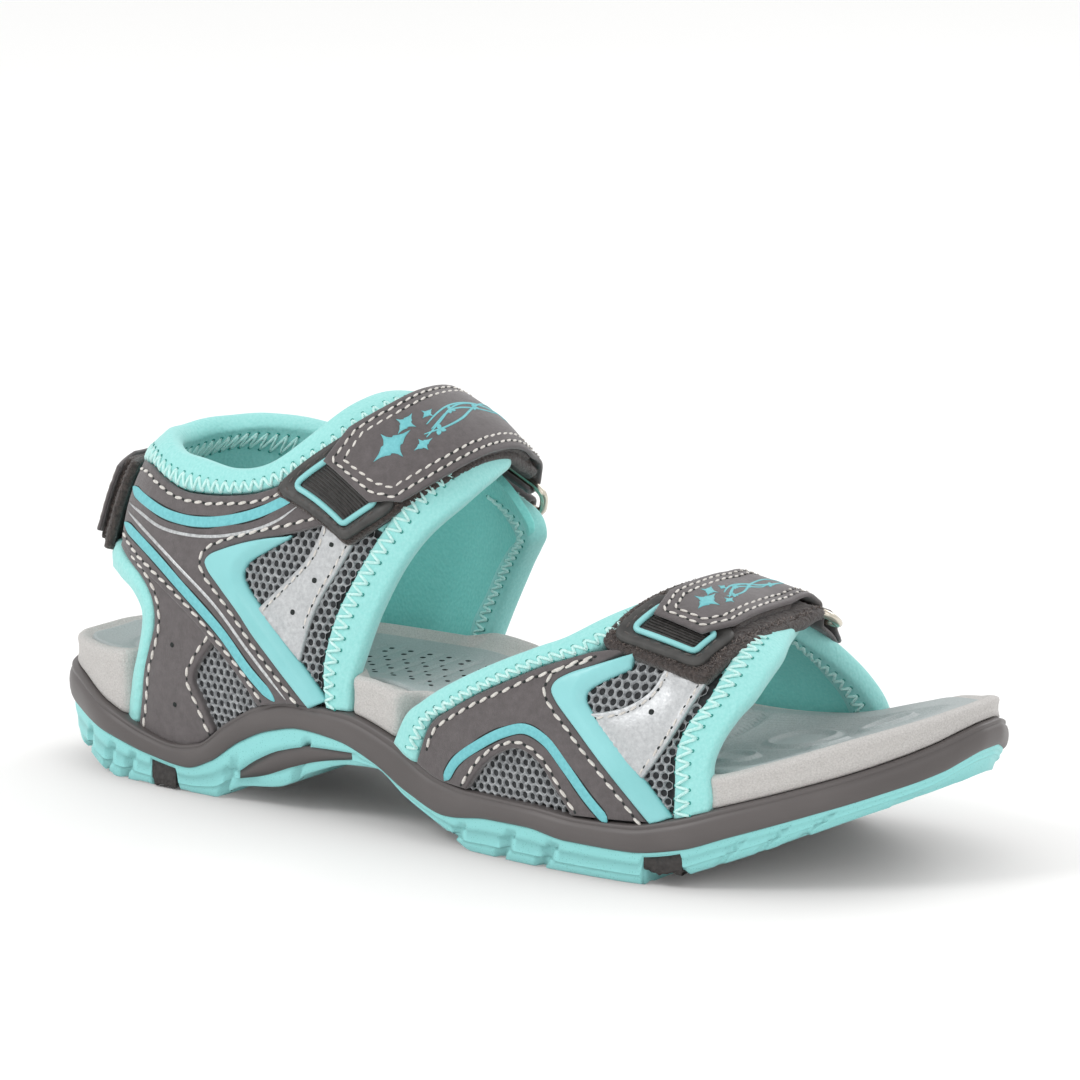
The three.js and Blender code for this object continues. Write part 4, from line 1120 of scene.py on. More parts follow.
class Roll:
    """A padded edge: it starts flat at an inner line, and rolls over an edge line to the lining inside."""

    OUTSIDE = ((0.0, 0.2), (0.05, 0.75), (0.16, 1.2), (0.34, 1.45), (0.55, 1.5), (0.75, 1.35), (0.9, 1.1))
    INSIDE = (
        (0.92, -4.75), (0.7, -5.1), (0.45, -5.2), (0.2, -5.0), (0.02, -4.75), (-0.06, -4.45), (-0.04, -2.6)
    )
    TURN = 10  # steps round the edge
    BEYOND = 1.9  # how far the roll stands past its edge line

    STEP = 0.9

    def __init__(self, name, last, inner, edge, stands_for=()):
        self.name, self.last = name, last
        a, b = spline(inner), spline(edge)
        self.length = length_of(b)
        self.us = us = np.linspace(0, 1, int(self.length / self.STEP) + 2)
        self.inner = last.project(along(a, us))
        self.edge = last.project(along(b, us))
        n = normals(last, self.edge)
        out = self.edge - self.inner
        out = unit(out - (out * n).sum(-1, keepdims=True) * n)
        rows = []
        for w, h in self.OUTSIDE:
            dimple = 0.16 * np.cos(2 * np.pi * us * self.length / 3.0) * (0.05 < w < 0.7)
            rows.append(self.point(w, h + dimple))
        middle, radius = (1.0 - 4.7) / 2, (1.0 + 4.7) / 2
        for k in range(self.TURN + 1):
            turn = math.pi / 2 - math.pi * k / self.TURN
            beyond = out * self.BEYOND * math.cos(turn) ** 0.8
            rows.append(self.edge + n * (middle + radius * math.sin(turn)) + beyond)
        rows += [self.point(w, h) for w, h in self.INSIDE]
        ring = np.stack(rows, axis=1)
        count = ring.shape[1]
        faces = grid_faces(len(us), count, wrap=True)
        faces += [tuple(range(count))[::-1], tuple(range((len(us) - 1) * count, len(us) * count))]
        roll = piece(name, ring, faces, "neoprene", stands_for=stands_for, merge=0.0)

    def point(self, w, height):
        p = self.last.project(self.inner + (self.edge - self.inner) * w)
        return p + normals(self.last, p) * np.reshape(height, (-1, 1))

    def place(self, u, w, height):
        a = np.stack([np.interp(u, self.us, self.inner[:, k]) for k in range(3)], -1)
        b = np.stack([np.interp(u, self.us, self.edge[:, k]) for k in range(3)], -1)
        p = self.last.project(a + (b - a) * np.asarray(w)[..., None])
        n = normals(self.last, p)
        return p + n * np.asarray(height)[..., None], n

    def height_at(self, w, inside):
        table = sorted(self.INSIDE[:6] if inside else self.OUTSIDE)
        return np.interp(w, [t[0] for t in table], [t[1] for t in table])

    def zigzag(self, low=0.04, high=0.56, inside=False, first=0.0, last=1.0):
        """Zigzag thread between two places across the roll, with its needle holes as darker mint beads,
        painted shade inside the holes.
        """
        PITCH, LEG, THREAD = 1.4, 5, 0.42
        name = self.name + ("_inner" if inside else "")
        count = int(self.length * (last - first) / PITCH)
        u = np.linspace(first, last, count)
        w = np.where(np.arange(count) % 2, low, high)
        steps = np.arange((count - 1) * LEG + 1)
        uu, ww = (np.interp(steps / LEG, np.arange(count), values) for values in (u, w))
        out = -1 if inside else 1
        phase = (steps % LEG) / LEG
        rise = 0.14 - 0.42 * (np.abs(phase - 0.5) * 2) ** 6
        p, _ = self.place(uu, ww, self.height_at(ww, inside) + out * (rise + 0.06))
        piece(name + "_zigzag", *tube(p, THREAD, sides=5), "thread_mint")
        p, n = self.place(u, w, self.height_at(w, inside) + out * 0.03)
        t = unit(np.gradient(p, axis=0))
        t = unit(t - (t * n).sum(-1, keepdims=True) * n)
        # Darker mint beads at the needle holes: painted shade.
        beads(name + "_holes", p, t, n, np.cross(n, t), (0.95, 0.8, 0.3), "mint_recess_shade")

    def lining_zigzag(self):
        self.zigzag(low=0.3, high=0.85, inside=True)


def honeycomb(name, last, hand, region):
    """The open face of a spacer mesh: strands round rows of holes, over a region seen from the side."""
    PITCH, CORNERS = 2.3, 12
    RINGS = ((1.0, 0.34), (0.9, 0.26), (0.8, 0.02), (0.72, -0.35), (0.69, -0.6))  # share of the cell, height
    region = np.array(region, float)
    lo, hi = region.min(0) - PITCH, region.max(0) + PITCH
    rows = enumerate(np.arange(lo[1], hi[1], PITCH * math.sqrt(3) / 2))
    centres = np.array(
        [(x, z) for i, z in rows for x in np.arange(lo[0] + (i % 2) * PITCH / 2, hi[0], PITCH)]
    )
    centres = centres[inside(centres, region)]
    turn = 2 * np.pi * np.arange(CORNERS) / CORNERS
    # a hexagon with a corner straight up, through its corners and the middles of its sides
    hexagon = PITCH / 2 / np.cos((turn + np.pi / 6) % (np.pi / 3) - np.pi / 6)
    flat = []
    for share, _ in RINGS:
        radius = hexagon * share if share > 0.8 else np.full(CORNERS, PITCH / 2 * share)
        flat.append(centres[:, None] + (np.stack([np.cos(turn), np.sin(turn)], -1) * radius[:, None])[None])
    p = last.side(np.stack(flat, axis=1).reshape(-1, 2), hand)
    height = np.tile(np.repeat([height for _, height in RINGS], CORNERS), len(centres))
    verts = p + normals(last, p) * (STRANDS + height[:, None])
    starts = np.arange(len(centres)) * len(RINGS) * CORNERS
    faces = np.array(grid_faces(len(RINGS), CORNERS, wrap=True))[None] + starts[:, None, None]
    return piece(name, verts, faces.reshape(-1, 4).tolist(), "mesh_strand", merge=0.12)


def eyelets(name, place, spots, size=EYELET):
    p, n = place(np.array(spots, float))
    t = unit(np.cross(n, np.array([0.1, 0.2, 1.0])))
    # The small holes are dark beads: painted shade inside them.
    beads(name, p, t, n, np.cross(n, t), size, "recess_shade")


def bevel(line, reach, drop):
    """Relief that slopes down towards one edge, a line seen from the side."""
    dense = along(spline(line), np.linspace(0, 1, 60))

    def relief(p, distance):
        flat = np.stack([p[:, 0], p[:, 2]], -1)
        away = np.linalg.norm(flat[:, None] - dense[None], axis=-1).min(axis=1)
        return -drop * (1 - smoothstep(away, 0.2, reach))

    return relief


def wrinkles(p, distance):
    """The slight unevenness of a stretched leather overlay."""
    x, z = p[..., 0], p[..., 2]
    folds = 0.07 * np.sin(0.31 * x + 0.23 * z) * np.sin(0.17 * z - 0.11 * x + 1.3)
    return folds * smoothstep(distance, 0.5, 3)


def piped(p, distance):
    """The turned edge of a silver panel, the line of its seam, and a soft swell between."""
    turned = np.exp(-(((distance - 0.55) / 0.4) ** 2))
    seam = np.exp(-(((distance - 1.35) / 0.3) ** 2))
    return 0.4 * turned - 0.15 * seam + 0.35 * smoothstep(distance, 1.6, 5.0) + wrinkles(p, distance)


def silver_inset(stem, last, hand, rear, front, front_end, spots):
    """A silver panel between its rear and front edges, with its seams and eyelets."""
    outline = outline_of(rear, [rear[-1], front[0]], front, [front[-1], rear[0]])
    cutout(f"{stem}_inset_lateral", last, hand, outline, SILVER, "silver_leather", relief=piped, step=1.0,
           stands_for=[f"{stem}_panel_lateral"])
    place = on_side(last, hand, 0.06)
    for end, line in (("rear", moved(rear, -1.3)), ("front", moved(front, -1.3)[:front_end])):
        stitches(f"{stem}_stitches_{end}_lateral", place, line, pitch=2.8, size=(1.9, 0.6, 0.5))
    eyelets(f"{stem}_eyelets_lateral", on_side(last, hand, 0.42), spots, (1.4, 1.4, 0.3))


def build_quarter(side, hand):
    outer = hand < 0
    name = lambda stem: f"{stem}_{side}"
    at = lambda *places: REAR.side(places, hand)
    over = lambda *places: REAR.over(places, hand)
    collar = over((104, -42), (94, -47), (84, -45), (77, -33))
    if outer:
        front = at((-26, 36), (-24, 44), (-21, 54), (-16.5, 65), (-12, 73))
        top = np.vstack([at((-90.5, 83.5)), collar, over((72, -16), (70, -2), (66, 8), (60, 11))])
        end = np.vstack([feet(REAR, [-26], hand), front, over((52, -17), (53, -3), (55, 7), (60, 11))])
    else:
        front = at((-24, 37), (-20, 46), (-14, 56), (-10, 61))
        top = np.vstack([at((-90.5, 83.5)), collar, over((70, -36), (62, -34))])
        end = np.vstack([feet(REAR, [-26], hand), front, at((-6, 66), (-4, 70)), over((62, -34))])
    # The lining wears the neoprene's darker copy: painted shade of the inside.
    lining = panel(
        name("quarter_lining_pad"), REAR, LINING, "neoprene_inner_painted_shade",
        feet(REAR, [-94, -82, -70, -58, -44, -26], hand), top,
        np.vstack([feet(REAR, [-94], hand), at((-92.5, 30), (-89, 42), (-89.5, 48), (-90.5, 83.5))]), end,
        stands_for=[name("quarter_lining")],
    )

    # The front roll, from the midsole up under the instep strap
    if outer:
        inner = np.vstack([
            feet(REAR, [-31.5], hand), at((-33, 38), (-32, 46), (-30, 53), (-26.5, 61), (-22.5, 69.5)),
            over((59, -20), (60.5, -4), (62, 6)),
        ])
        edge = np.vstack([feet(REAR, [-26], hand), front, over((52.5, -17), (53.5, -3), (55, 7))])
    else:
        inner = np.vstack([feet(REAR, [-30], hand), at((-30, 38), (-26, 46), (-21, 55), (-16, 61), (-12, 65)),
                           over((60, -42))])
        edge = np.vstack([feet(REAR, [-26], hand), front, at((-6.5, 65.5), (-7, 69.5)), over((57, -40))])
    roll = Roll(name("front_roll"), REAR, inner, edge, stands_for=[name("front_binding")])
    roll.zigzag(last=0.8 if outer else 0.95)
    roll.lining_zigzag()

    # The mesh, under everything else
    panel(
        name("quarter_mesh_back"), REAR, BASE, "mesh_base",
        feet(REAR, [-86, -76, -66, -54, -40, -31], hand), at((-88, 66), (-70, 72), (-50, 76), (-18.5, 76)),
        np.vstack([feet(REAR, [-86], hand), at((-82, 40), (-88, 66))]),
        np.vstack([feet(REAR, [-31], hand), at((-32, 42), (-29.5, 53), (-25, 62), (-20.5, 71), (-18.5, 76))]),
        step=2.4, stands_for=[name("quarter_mesh")],
    )
    honeycomb(
        name("quarter_mesh_face"), REAR, hand,
        [(-62.5, 59), (-52, 67.5), (-38, 73.5), (-27, 75.5), (-22.8, 70), (-27.2, 61), (-31, 53), (-33, 46),
         (-34.3, 37), (-33.6, 28.5), (-38, 34), (-46, 42), (-54, 49), (-60.5, 55)],
    )
    honeycomb(
        name("leg_mesh_face"), REAR, hand,
        [(-67, 43), (-76, 36), (-77.5, 29), (-73, 21), (-68, 17), (-58, 23.5), (-48, 26.5), (-54, 31),
         (-62, 38)],
    )

    # Nubuck: the leg, and over it one piece for the collar arm and the diagonal band
    leg_rear = [(-107, 58.5), (-100, 55.3), (-94, 52), (-90.3, 47.5), (-89.3, 42), (-91, 36), (-93, 30),
                (-94.2, 22),
                (-95.5, 14.4)]
    leg_front = [(-68.5, 17.3), (-72.5, 24.5), (-75.5, 30), (-73.5, 34.5), (-68, 41)]
    cutout(
        name("leg_nubuck"), REAR, hand,
        outline_of(leg_rear, [leg_rear[-1], (-87, 12.7), (-78, 12.4), (-72.5, 14.2), leg_front[0]], leg_front,
                   [leg_front[-1], (-84, 53), (-95, 59), (-105, 63)], [(-105, 63), leg_rear[0]]),
        (OVERLAY[0], LEG_TOP), "nubuck", relief=wrinkles, stands_for=[name("leg_overlay")],
    )
    collar_edge = [
        (-103.5, 79.6), (-98, 79.6), (-92, 78), (-84, 76), (-75, 75.9), (-66, 76.8), (-58, 78.3), (-49, 82)
    ]
    if outer:
        collar_edge.append((-38.5, 87.5))
        arm_end = [collar_edge[-1], (-29, 75)]
        arm_low = [(-29, 75), (-38, 72.6), (-47, 69.8)]
    else:
        arm_end = [collar_edge[-1], (-47, 69.8)]
        arm_low = [(-49, 69.3), (-47, 69.8)]
    chevron_side = [(-47, 69.8), (-59, 66.4), (-66.5, 63.8), (-70.6, 61.9), (-72, 60.1), (-70.8, 58),
                    (-66.5, 54.3),
                    (-60, 48.8), (-55, 44), (-49, 39), (-43, 34), (-36.5, 28.6)]
    band_edge = [
        (-52.5, 26.6), (-55, 29), (-62, 35), (-70, 41), (-74, 44), (-86, 51), (-97, 56), (-106, 60.4)
    ]
    cutout(
        name("band_nubuck"), REAR, hand,
        outline_of(collar_edge, arm_end, *([arm_low] if outer else []), chevron_side,
                   [chevron_side[-1], (-44, 28.4), band_edge[0]], band_edge,
                   [band_edge[-1], (-105.5, 70), collar_edge[0]]),
        OVERLAY, "nubuck", relief=wrinkles,
        stands_for=[name("collar_overlay"), name("diagonal_overlay")],
    )
    place = on_side(REAR, hand, OVERLAY_TOP)
    low_place = on_side(REAR, hand, LEG_TOP)
    stitches(name("collar_stitches"), place, moved(collar_edge, -2.0))
    stitches(name("chevron_stitches"), place, moved([*arm_low[1:-1], *chevron_side], -1.9)[:-6])
    stitches(name("band_stitches"), place, moved(band_edge, -1.9))
    stitches(name("leg_stitches"), low_place, moved(leg_rear, 2.0)[20:])
    stitches(name("leg_window_stitches"), low_place, moved(leg_front, 1.8))
    eyelets(name("leg_eyelets"), low_place, [(-82.5, 37.6), (-81.7, 22.4)])
    cut = 0 if outer else 34  # the inner side's lines start in front of the heel strap's ring
    printed_line = lambda points: REAR.side(spline(points)[cut:], hand)
    STRIPE, LINE = 2.9, 0.9
    tip = [(-50, 77), (-42, 82.5)] if outer else [(-52, 76)]
    for stem, points in (
        ("mint_stripe_high", [(-104.5, 73), (-98, 71.7), (-86, 69.4), (-74, 69.4), (-60, 72.5), *tip]),
        ("mint_stripe_low",
         [(-105, 64.4), (-98, 62.3), (-90, 58.8), (-80, 52.9), (-66, 43.6), (-56, 35), (-46.5, 28.6)]),
    ):
        # A dark band under and round each stripe: painted shade of its sunk border.
        ribbon(name(stem + "_edge"), REAR, printed_line(points), STRIPE + 0.9, PRINT_BORDER_SHADE, "recess_shade")
        ribbon(name(stem), REAR, printed_line(points), STRIPE, PRINTED, "mint_print")
    tip = [(-51, 72.2), (-45, 76.5)] if outer else [(-52, 71.8)]
    for stem, points in (
        ("silver_line_high", [(-104.5, 69.4), (-98, 68.3), (-88, 66), (-73, 66), (-60, 68.6), *tip]),
        ("silver_line_low",
         [(-104, 67.4), (-98, 65.6), (-90, 62.2), (-80, 56.9), (-68, 49.6), (-56, 39.6), (-43, 29.4)]),
    ):
        ribbon(name(stem), REAR, printed_line(points), LINE, PRINTED, "silver_print", taper=9)

    # The chevron
    inner = [(-31.5, 30.6), (-38, 36.8), (-46, 43.8), (-54, 50.8), (-58.9, 55.4), (-60.4, 58), (-59.4, 60.9),
             (-54, 64.6), (-47.5, 68.4)]
    cutout(
        name("chevron_moulding"), REAR, hand,
        outline_of([(-46.5, 69.4), *chevron_side[1:-1], (-36, 28.2)], [(-36, 28.2), inner[0]], inner,
                   [inner[-1], (-46.5, 69.4)]),
        MOULDED, "mint_moulding", edge=0.8, step=1.1, relief=bevel(inner, 2.7, 1.5),
        stands_for=[name("chevron")],
    )
    if outer:
        silver_inset(
            "silver", REAR, hand,
            [(-55, 50.4), (-50.5, 54.6), (-45, 60), (-41, 64.6), (-38.4, 70.5), (-37.5, 76)],
            [(-27.5, 76), (-28.4, 69.5), (-31.6, 62.5), (-35.4, 55.8), (-38.2, 49), (-40.6, 39)], -20,
            [(-34.2, 68.4), (-37.9, 59.4), (-43.5, 51)],
        )


def round_heel(places, angle):
    """A line from the outer side, round the heel at an angle of the rear last, to the inner side."""
    return np.vstack([REAR.side(places, -1), REAR.over([(angle, 0)]), REAR.side(places[::-1], 1)])


def build_heel():
    low = [(-86, 46), (-92, 50), (-100, 54), (-110, 53)]
    high = [(-86, 83), (-92, 83.5), (-99, 83.5), (-106, 83.6)]
    heel = panel("heel_lining_pad", REAR, (-5.0, -0.9), "neoprene", round_heel(low, 143),
                 round_heel(high, 122),
                 stands_for=["heel_lining"])
    # The collar's roll: up the outer side of the tongue's edge, round the heel, to the inner side
    edge = np.vstack([
        REAR.over([(69.5, 8), (73, -2), (75.5, -16), (79, -31), (85.5, -41.5), (94, -43.5), (103.5, -38.5),
                   (110.5, -30.5), (115.3, -15), (117.2, 0)]),
        REAR.over(
            [(114.3, -15), (108, -26.5), (101.5, -34), (93, -40.5), (84, -43), (77, -33.5), (70, -36)], 1
        ),
    ])
    sides = [
        (-38, 88.5), (-49, 82.4), (-58, 78.9), (-66, 77.3), (-75, 76.4), (-84, 76.4), (-92, 78.3), (-98, 79.8)
    ]
    inner = np.vstack([
        REAR.over([(66.5, 8), (68, -2), (70, -18)]), REAR.side(sides, -1),
        REAR.over([(121.5, -16), (126, 0)]),
        REAR.over([(121.5, -16)], 1), REAR.side(sides[:0:-1], 1), REAR.over([(68, -42)], 1),
    ])
    collar = Roll(
        "collar_roll", REAR, inner, edge, stands_for=["collar_binding_lateral", "collar_binding_medial"]
    )
    collar.zigzag(first=0.05, last=0.97)
    collar.lining_zigzag()
    # The roll round the opening at the back of the heel
    outer_leg = [(-99.5, 15.5), (-97, 27), (-94.8, 34), (-93.4, 40), (-93.6, 45), (-98, 49.5), (-106, 52.2)]
    inner_leg = [
        (-95.7, 15.5), (-93.2, 27), (-91.5, 34), (-89.8, 40.5), (-90.3, 47.3), (-95.5, 53), (-105, 57)
    ]
    Roll("heel_opening_roll", REAR, round_heel(inner_leg, 138), round_heel(outer_leg, 144)).lining_zigzag()


def build_tongue():
    TONGUE = (-2.5, -0.75)
    tongue = panel(
        "instep_tongue_pad", REAR, TONGUE, "neoprene",
        REAR.side([(-41, 77), (-21.5, 72.5)], -1), REAR.over([(69, 8), (60, 8)]),
        np.vstack([REAR.side([(-41, 77)], -1), REAR.over([(76, -36), (71, -16), (69.5, -4), (69, 8)])]),
        np.vstack([REAR.side([(-21.5, 72.5)], -1), REAR.over([(58.5, -17), (59.5, -3), (60, 8)])]),
    )
    tongue = panel(
        "forefoot_tongue_pad", VAMP, TONGUE, "neoprene",
        VAMP.side([(44, 56), (80, 50)], -1), VAMP.over([(57, 97), (66, 104), (75, 97)]),
        np.vstack([VAMP.side([(44, 56)], -1), VAMP.over([(54, 70), (57, 97)])]),
        np.vstack([VAMP.side([(80, 50)], -1), VAMP.over([(82, 72), (75, 97)])]),
    )


def build_vamp(side, hand):
    outer = hand < 0
    name = lambda stem: f"{stem}_{side}"
    at = lambda *places: VAMP.side(places, hand)
    over = lambda *places: VAMP.over(places, hand)
    rear = at((-3, 31), (2, 35), (8, 39), (16, 43.5), (25, 48), (34, 52), (41, 55))
    if outer:
        front = at((82, 22), (81, 30), (82.2, 36), (84.4, 42), (86.2, 46.5))
        tops = over((55, 98), (66, 106), (77, 98))
        tongue_rear, tongue_front = over((50, 66), (54, 82)), over((85, 74), (81, 87))
    else:
        front = at((82.5, 24), (82, 30), (79, 37), (75, 43), (71, 48))
        tops = over((54, 64), (60, 62), (66, 62))
        tongue_rear = tongue_front = np.zeros((0, 3))
    start = np.vstack([feet(VAMP, [-7], hand), rear, tongue_rear, tops[:1]])
    end = np.vstack([feet(VAMP, [82], hand), front, tongue_front, tops[-1:]])
    # The lining wears the neoprene's darker copy: painted shade of the inside.
    lining = panel(name("vamp_lining_pad"), VAMP, LINING, "neoprene_inner_painted_shade",
                   feet(VAMP, [-7, 10, 30, 50, 68, 82], hand), tops, start, end,
                   stands_for=[name("vamp_lining")])
    inner = np.vstack([feet(VAMP, [-0.8], hand),
                       at((4, 31), (10.5, 35.2), (18, 39.8), (27, 44.3), (36, 48.6), (46, 52.2))])
    edge = np.vstack([feet(VAMP, [-7], hand), rear])
    if outer:
        inner = np.vstack([inner, over((57, 68), (60, 84), (62, 98))])
        edge = np.vstack([edge, tongue_rear, tops[:1]])
    else:
        inner = np.vstack([inner, over((56, 56))])
        edge = np.vstack([edge, over((48, 62))])
    roll = Roll(name("vamp_rear_roll"), VAMP, inner, edge, stands_for=[name("vamp_rear_binding")])
    roll.zigzag(low=0.08, high=0.52, first=0.02, last=0.72 if outer else 0.95)
    roll.lining_zigzag()
    if outer:
        inner = np.vstack([feet(VAMP, [74.5], hand), at((74.5, 24), (74, 33), (75.5, 39), (78.5, 45)),
                           over((77.5, 74), (74, 88), (70, 98))])
        edge = np.vstack([feet(VAMP, [82], hand), front, tongue_front, tops[-1:]])
    else:
        inner = np.vstack([feet(VAMP, [75], hand), at((75, 28), (73.5, 34), (70.5, 40)), over((65.5, 52))])
        edge = np.vstack([feet(VAMP, [82], hand), front, over((68, 60))])
    roll = Roll(name("vamp_front_roll"), VAMP, inner, edge, stands_for=[name("vamp_front_binding")])
    roll.zigzag(last=0.7 if outer else 0.95)
    roll.lining_zigzag()

    mesh_end = (81, 50.5) if outer else (66, 44)
    panel(
        name("vamp_mesh_back"), VAMP, BASE, "mesh_base",
        feet(VAMP, [4, 20, 40, 60, 76], hand),
        np.vstack([at((46, 53), (60, 55) if outer else (56, 49)), at(mesh_end)]),
        np.vstack([feet(VAMP, [4], hand), at((10.5, 33), (18, 38), (28, 43), (37, 47), (46, 53))]),
        np.vstack([feet(VAMP, [76], hand), at((76, 33), (78, 41) if outer else (74, 38)), at(mesh_end)]),
        step=2.4, stands_for=[name("vamp_mesh")],
    )
    honeycomb(name("vamp_mesh_face"), VAMP, hand,
              [(46, 43), (54, 53) if outer else (54, 50.5), (66, 53) if outer else (60, 49),
               (78, 47.5) if outer else (66, 45), (74.7, 38),
               (73.2, 28), (74, 17), (70.5, 17.5), (63, 25.5), (51, 36.5)])
    honeycomb(name("vamp_window_face"), VAMP, hand,
              [(13, 15.5), (19, 23.5), (25.5, 28.4), (32, 30.4), (38.5, 28.2), (44.5, 21.5), (50.5, 13.5)])

    top_edge = [(-0.4, 20.2), (4.4, 30.8), (10.5, 35.2), (18, 39.6), (27, 44.1), (36, 48.3), (47, 52.2)]
    chevron_side = [(49, 49.4), (43.6, 47.4), (40.2, 45.3), (39.5, 43.4), (40.8, 41.4), (49, 34.3),
                    (62, 22.4),
                    (68.4, 15.6)]
    upper_edge = [(57, 54) if outer else (51, 52), (49, 49.4)]
    arch = [(47.8, 14.8), (43, 20.5), (37.8, 26.3), (32, 28.6), (26.3, 27), (21, 23.2), (15.4, 16.2)]
    cutout(
        name("vamp_nubuck"), VAMP, hand,
        outline_of(top_edge, [top_edge[-1], upper_edge[0]], upper_edge, chevron_side,
                   [chevron_side[-1], arch[0]], arch, [arch[-1], (6, 17.4), top_edge[0]]),
        OVERLAY, "nubuck", relief=wrinkles, stands_for=[name("vamp_overlay")],
    )
    place = on_side(VAMP, hand, OVERLAY_TOP)
    stitches(name("vamp_top_stitches"), place, moved(top_edge, -1.9)[10:])
    stitches(name("vamp_chevron_stitches"), place, moved(chevron_side, -1.9))
    stitches(name("vamp_arch_stitches"), place, moved(arch, -1.5))
    stripe = VAMP.side(spline([(58, 14.6), (52.6, 19.4), (46, 26), (39.6, 31.6), (33.6, 33.6), (27.5, 32),
                               (20.3, 28.2), (12.5, 22.6), (9, 17.4)]), hand)
    # A dark band under and round the stripe: painted shade of its sunk border.
    ribbon(name("vamp_mint_stripe_edge"), VAMP, stripe, 3.6, PRINT_BORDER_SHADE, "recess_shade", taper=1.5)
    ribbon(name("vamp_mint_stripe"), VAMP, stripe, 2.7, PRINTED, "mint_print", taper=1.5)

    inner = [
        (74.2, 17.2), (66, 26), (51.5, 38.8), (48.4, 42.3), (48.6, 44.2), (57.5, 50) if outer else (51, 45.8)
    ]
    first = [(57.5, 52.4) if outer else (51, 49.6)]
    cutout(
        name("vamp_chevron_moulding"), VAMP, hand,
        outline_of(
            first + chevron_side[:-1] + [(69, 15.4)], [(69, 15.4), inner[0]], inner, [inner[-1], first[0]]
        ),
        MOULDED, "mint_moulding", edge=0.8, step=1.1, relief=bevel(inner, 2.5, 1.5),
        stands_for=[name("vamp_chevron")],
    )
    if outer:
        silver_inset(
            "vamp_silver", VAMP, hand, [(48.6, 39), (55, 40.3), (60.5, 42.4), (64.5, 46), (65.5, 50.5)],
            [(76.5, 48.5), (74.6, 42), (71, 33.5), (66, 25.4)], None, [(66, 41)],
        )


for side_name, hand_sign in SIDES:
    build_quarter(side_name, hand_sign)
    build_vamp(side_name, hand_sign)
build_heel()
build_tongue()


# ---------- the three closures ----------
RING_LENGTH = 8.0  # from the strap's bar to the keeper's bar
RING_POINT = 2  # the track's control point that lies at the strap's bar
BAR_HEIGHT = 2.1  # of the ring's bars above the track
FOLD = 2.1  # radius of a strap's fold round a bar
HALF_TURN = FOLD * math.pi  # length of a strap's fold
THICK = 1.2  # of a strap
WIRE = 1.05  # radius of the ring's wire
RING_CORNER = 3.2
LOOP_TOP = 1.9  # of the loop band above the track
HOOK = (1.2, 3.45)  # heights of the hook band
PATCH = (1.0, 3.25)  # heights of a patch's frame
PATCH_RIM = 2.6  # width of the frame round a patch's sunk middle
FLAP_N = BAR_HEIGHT + FOLD  # the flap's middle above the track
KEEPER_SEWN = 1.6  # the keeper's top layer above the track
TIP_RUN = 8.0  # length of the chamfers at a flap's tip


class Track:
    """A strap's way over a last: s along it from the strap's bar, t across, n height above it."""

    NEAR, FAR = 4.0, 14.0  # beyond the ring, where the flat frame starts and ends turning into the last

    def __init__(self, last, points, rise):
        self.last, self.rise = last, rise
        self.line = spline(last.project(np.array(points, float)), per=60)
        self.length = length_of(self.line)
        self.start = -length_of(self.line[: 60 * RING_POINT + 1])
        self.middle = -RING_LENGTH / 2
        self.ring = [v[0] for v in self.frame(np.array([self.middle]))]

    def frame(self, s):
        u = np.clip((s - self.start) / self.length, 0, 1)
        STEP = 0.004
        origin = self.last.project(along(self.line, u))
        tangent = along(self.line, np.minimum(u + STEP, 1)) - along(self.line, np.maximum(u - STEP, 0))
        up = normals(self.last, origin)
        across = unit(np.cross(up, tangent))
        return origin, across, up, np.cross(across, up)

    def at(self, s, t, n):
        s, t, n = np.broadcast_arrays(*(np.asarray(v, float) for v in (s, t, n)))
        shape = s.shape
        s, t, n = s.ravel()[:, None], t.ravel()[:, None], n.ravel()[:, None] + self.rise
        origin, across, up, way = self.ring
        flat = origin + way * (s - self.middle) + across * t + up * n
        origin, across, _, _ = self.frame(s[:, 0])
        p = self.last.project(origin + across * t)
        bent = p + normals(self.last, p) * n
        share = smoothstep(np.maximum(s, -RING_LENGTH - s), self.NEAR, self.FAR)
        return (flat * (1 - share) + bent * share).reshape(*shape, 3)

    def place(self, height):
        """Places (s, t) points at a height over the track."""

        def place(points):
            s, t = points[:, 0], points[:, 1]
            p = self.at(s, t, height)
            return p, unit(self.at(s, t, height + 0.5) - p)

        return place


def folded(q, bar, facing):
    """(s, n) and the outward direction on a strap's middle, q mm along it from under a bar."""
    turn = np.clip(q / FOLD, 0, math.pi)
    s = bar - facing * FOLD * np.sin(turn) + facing * np.maximum(q - HALF_TURN, 0)
    s = s + facing * np.maximum(-q, 0)
    return s, BAR_HEIGHT - FOLD * np.cos(turn), -facing * np.sin(turn), -np.cos(turn)


def fuzz(name, track, count, place, body, shortest, longest):
    """Loose fibres: small tapered arcs. place turns random numbers from 0 to 1 into (s, t, n)."""
    WIDTH, LEAN = 0.16, 0.8
    s, t, n = place(rng.random(count), rng.random(count), rng.random(count))
    root = track.at(s, t, n)
    up = unit(track.at(s, t, n + 0.5) - root)
    way = unit(track.at(s + 0.5, t, n) - root)
    side = np.cross(up, way)
    turn = rng.random(count) * 2 * np.pi
    flat = way * np.cos(turn)[:, None] + side * np.sin(turn)[:, None]
    long = (shortest + (longest - shortest) * rng.random(count))[:, None]
    bend = LEAN * (0.5 + rng.random(count))[:, None]
    width = WIDTH * (0.6 + 0.8 * rng.random(count))[:, None]
    cross = unit(np.cross(flat, up))
    rows = []
    for share, thin in ((0.0, 1.0), (0.35, 0.9), (0.7, 0.6), (1.0, 0.12)):
        c = root + up * (long * share * (1 - 0.35 * share * bend)) + flat * (long * bend * share**1.6)
        rows += [c - cross * width * thin, c + flat * width * thin * 0.8, c + cross * width * thin]
    one = grid_faces(4, 3, wrap=True) + [(2, 1, 0), (9, 10, 11)]
    faces = [tuple(v + 12 * k for v in face) for k in range(count) for face in one]
    # The fibres' lighter tone is painted highlight; they are the band's own near-black fabric.
    piece(name, np.stack(rows, axis=1), faces, "fibre", body)


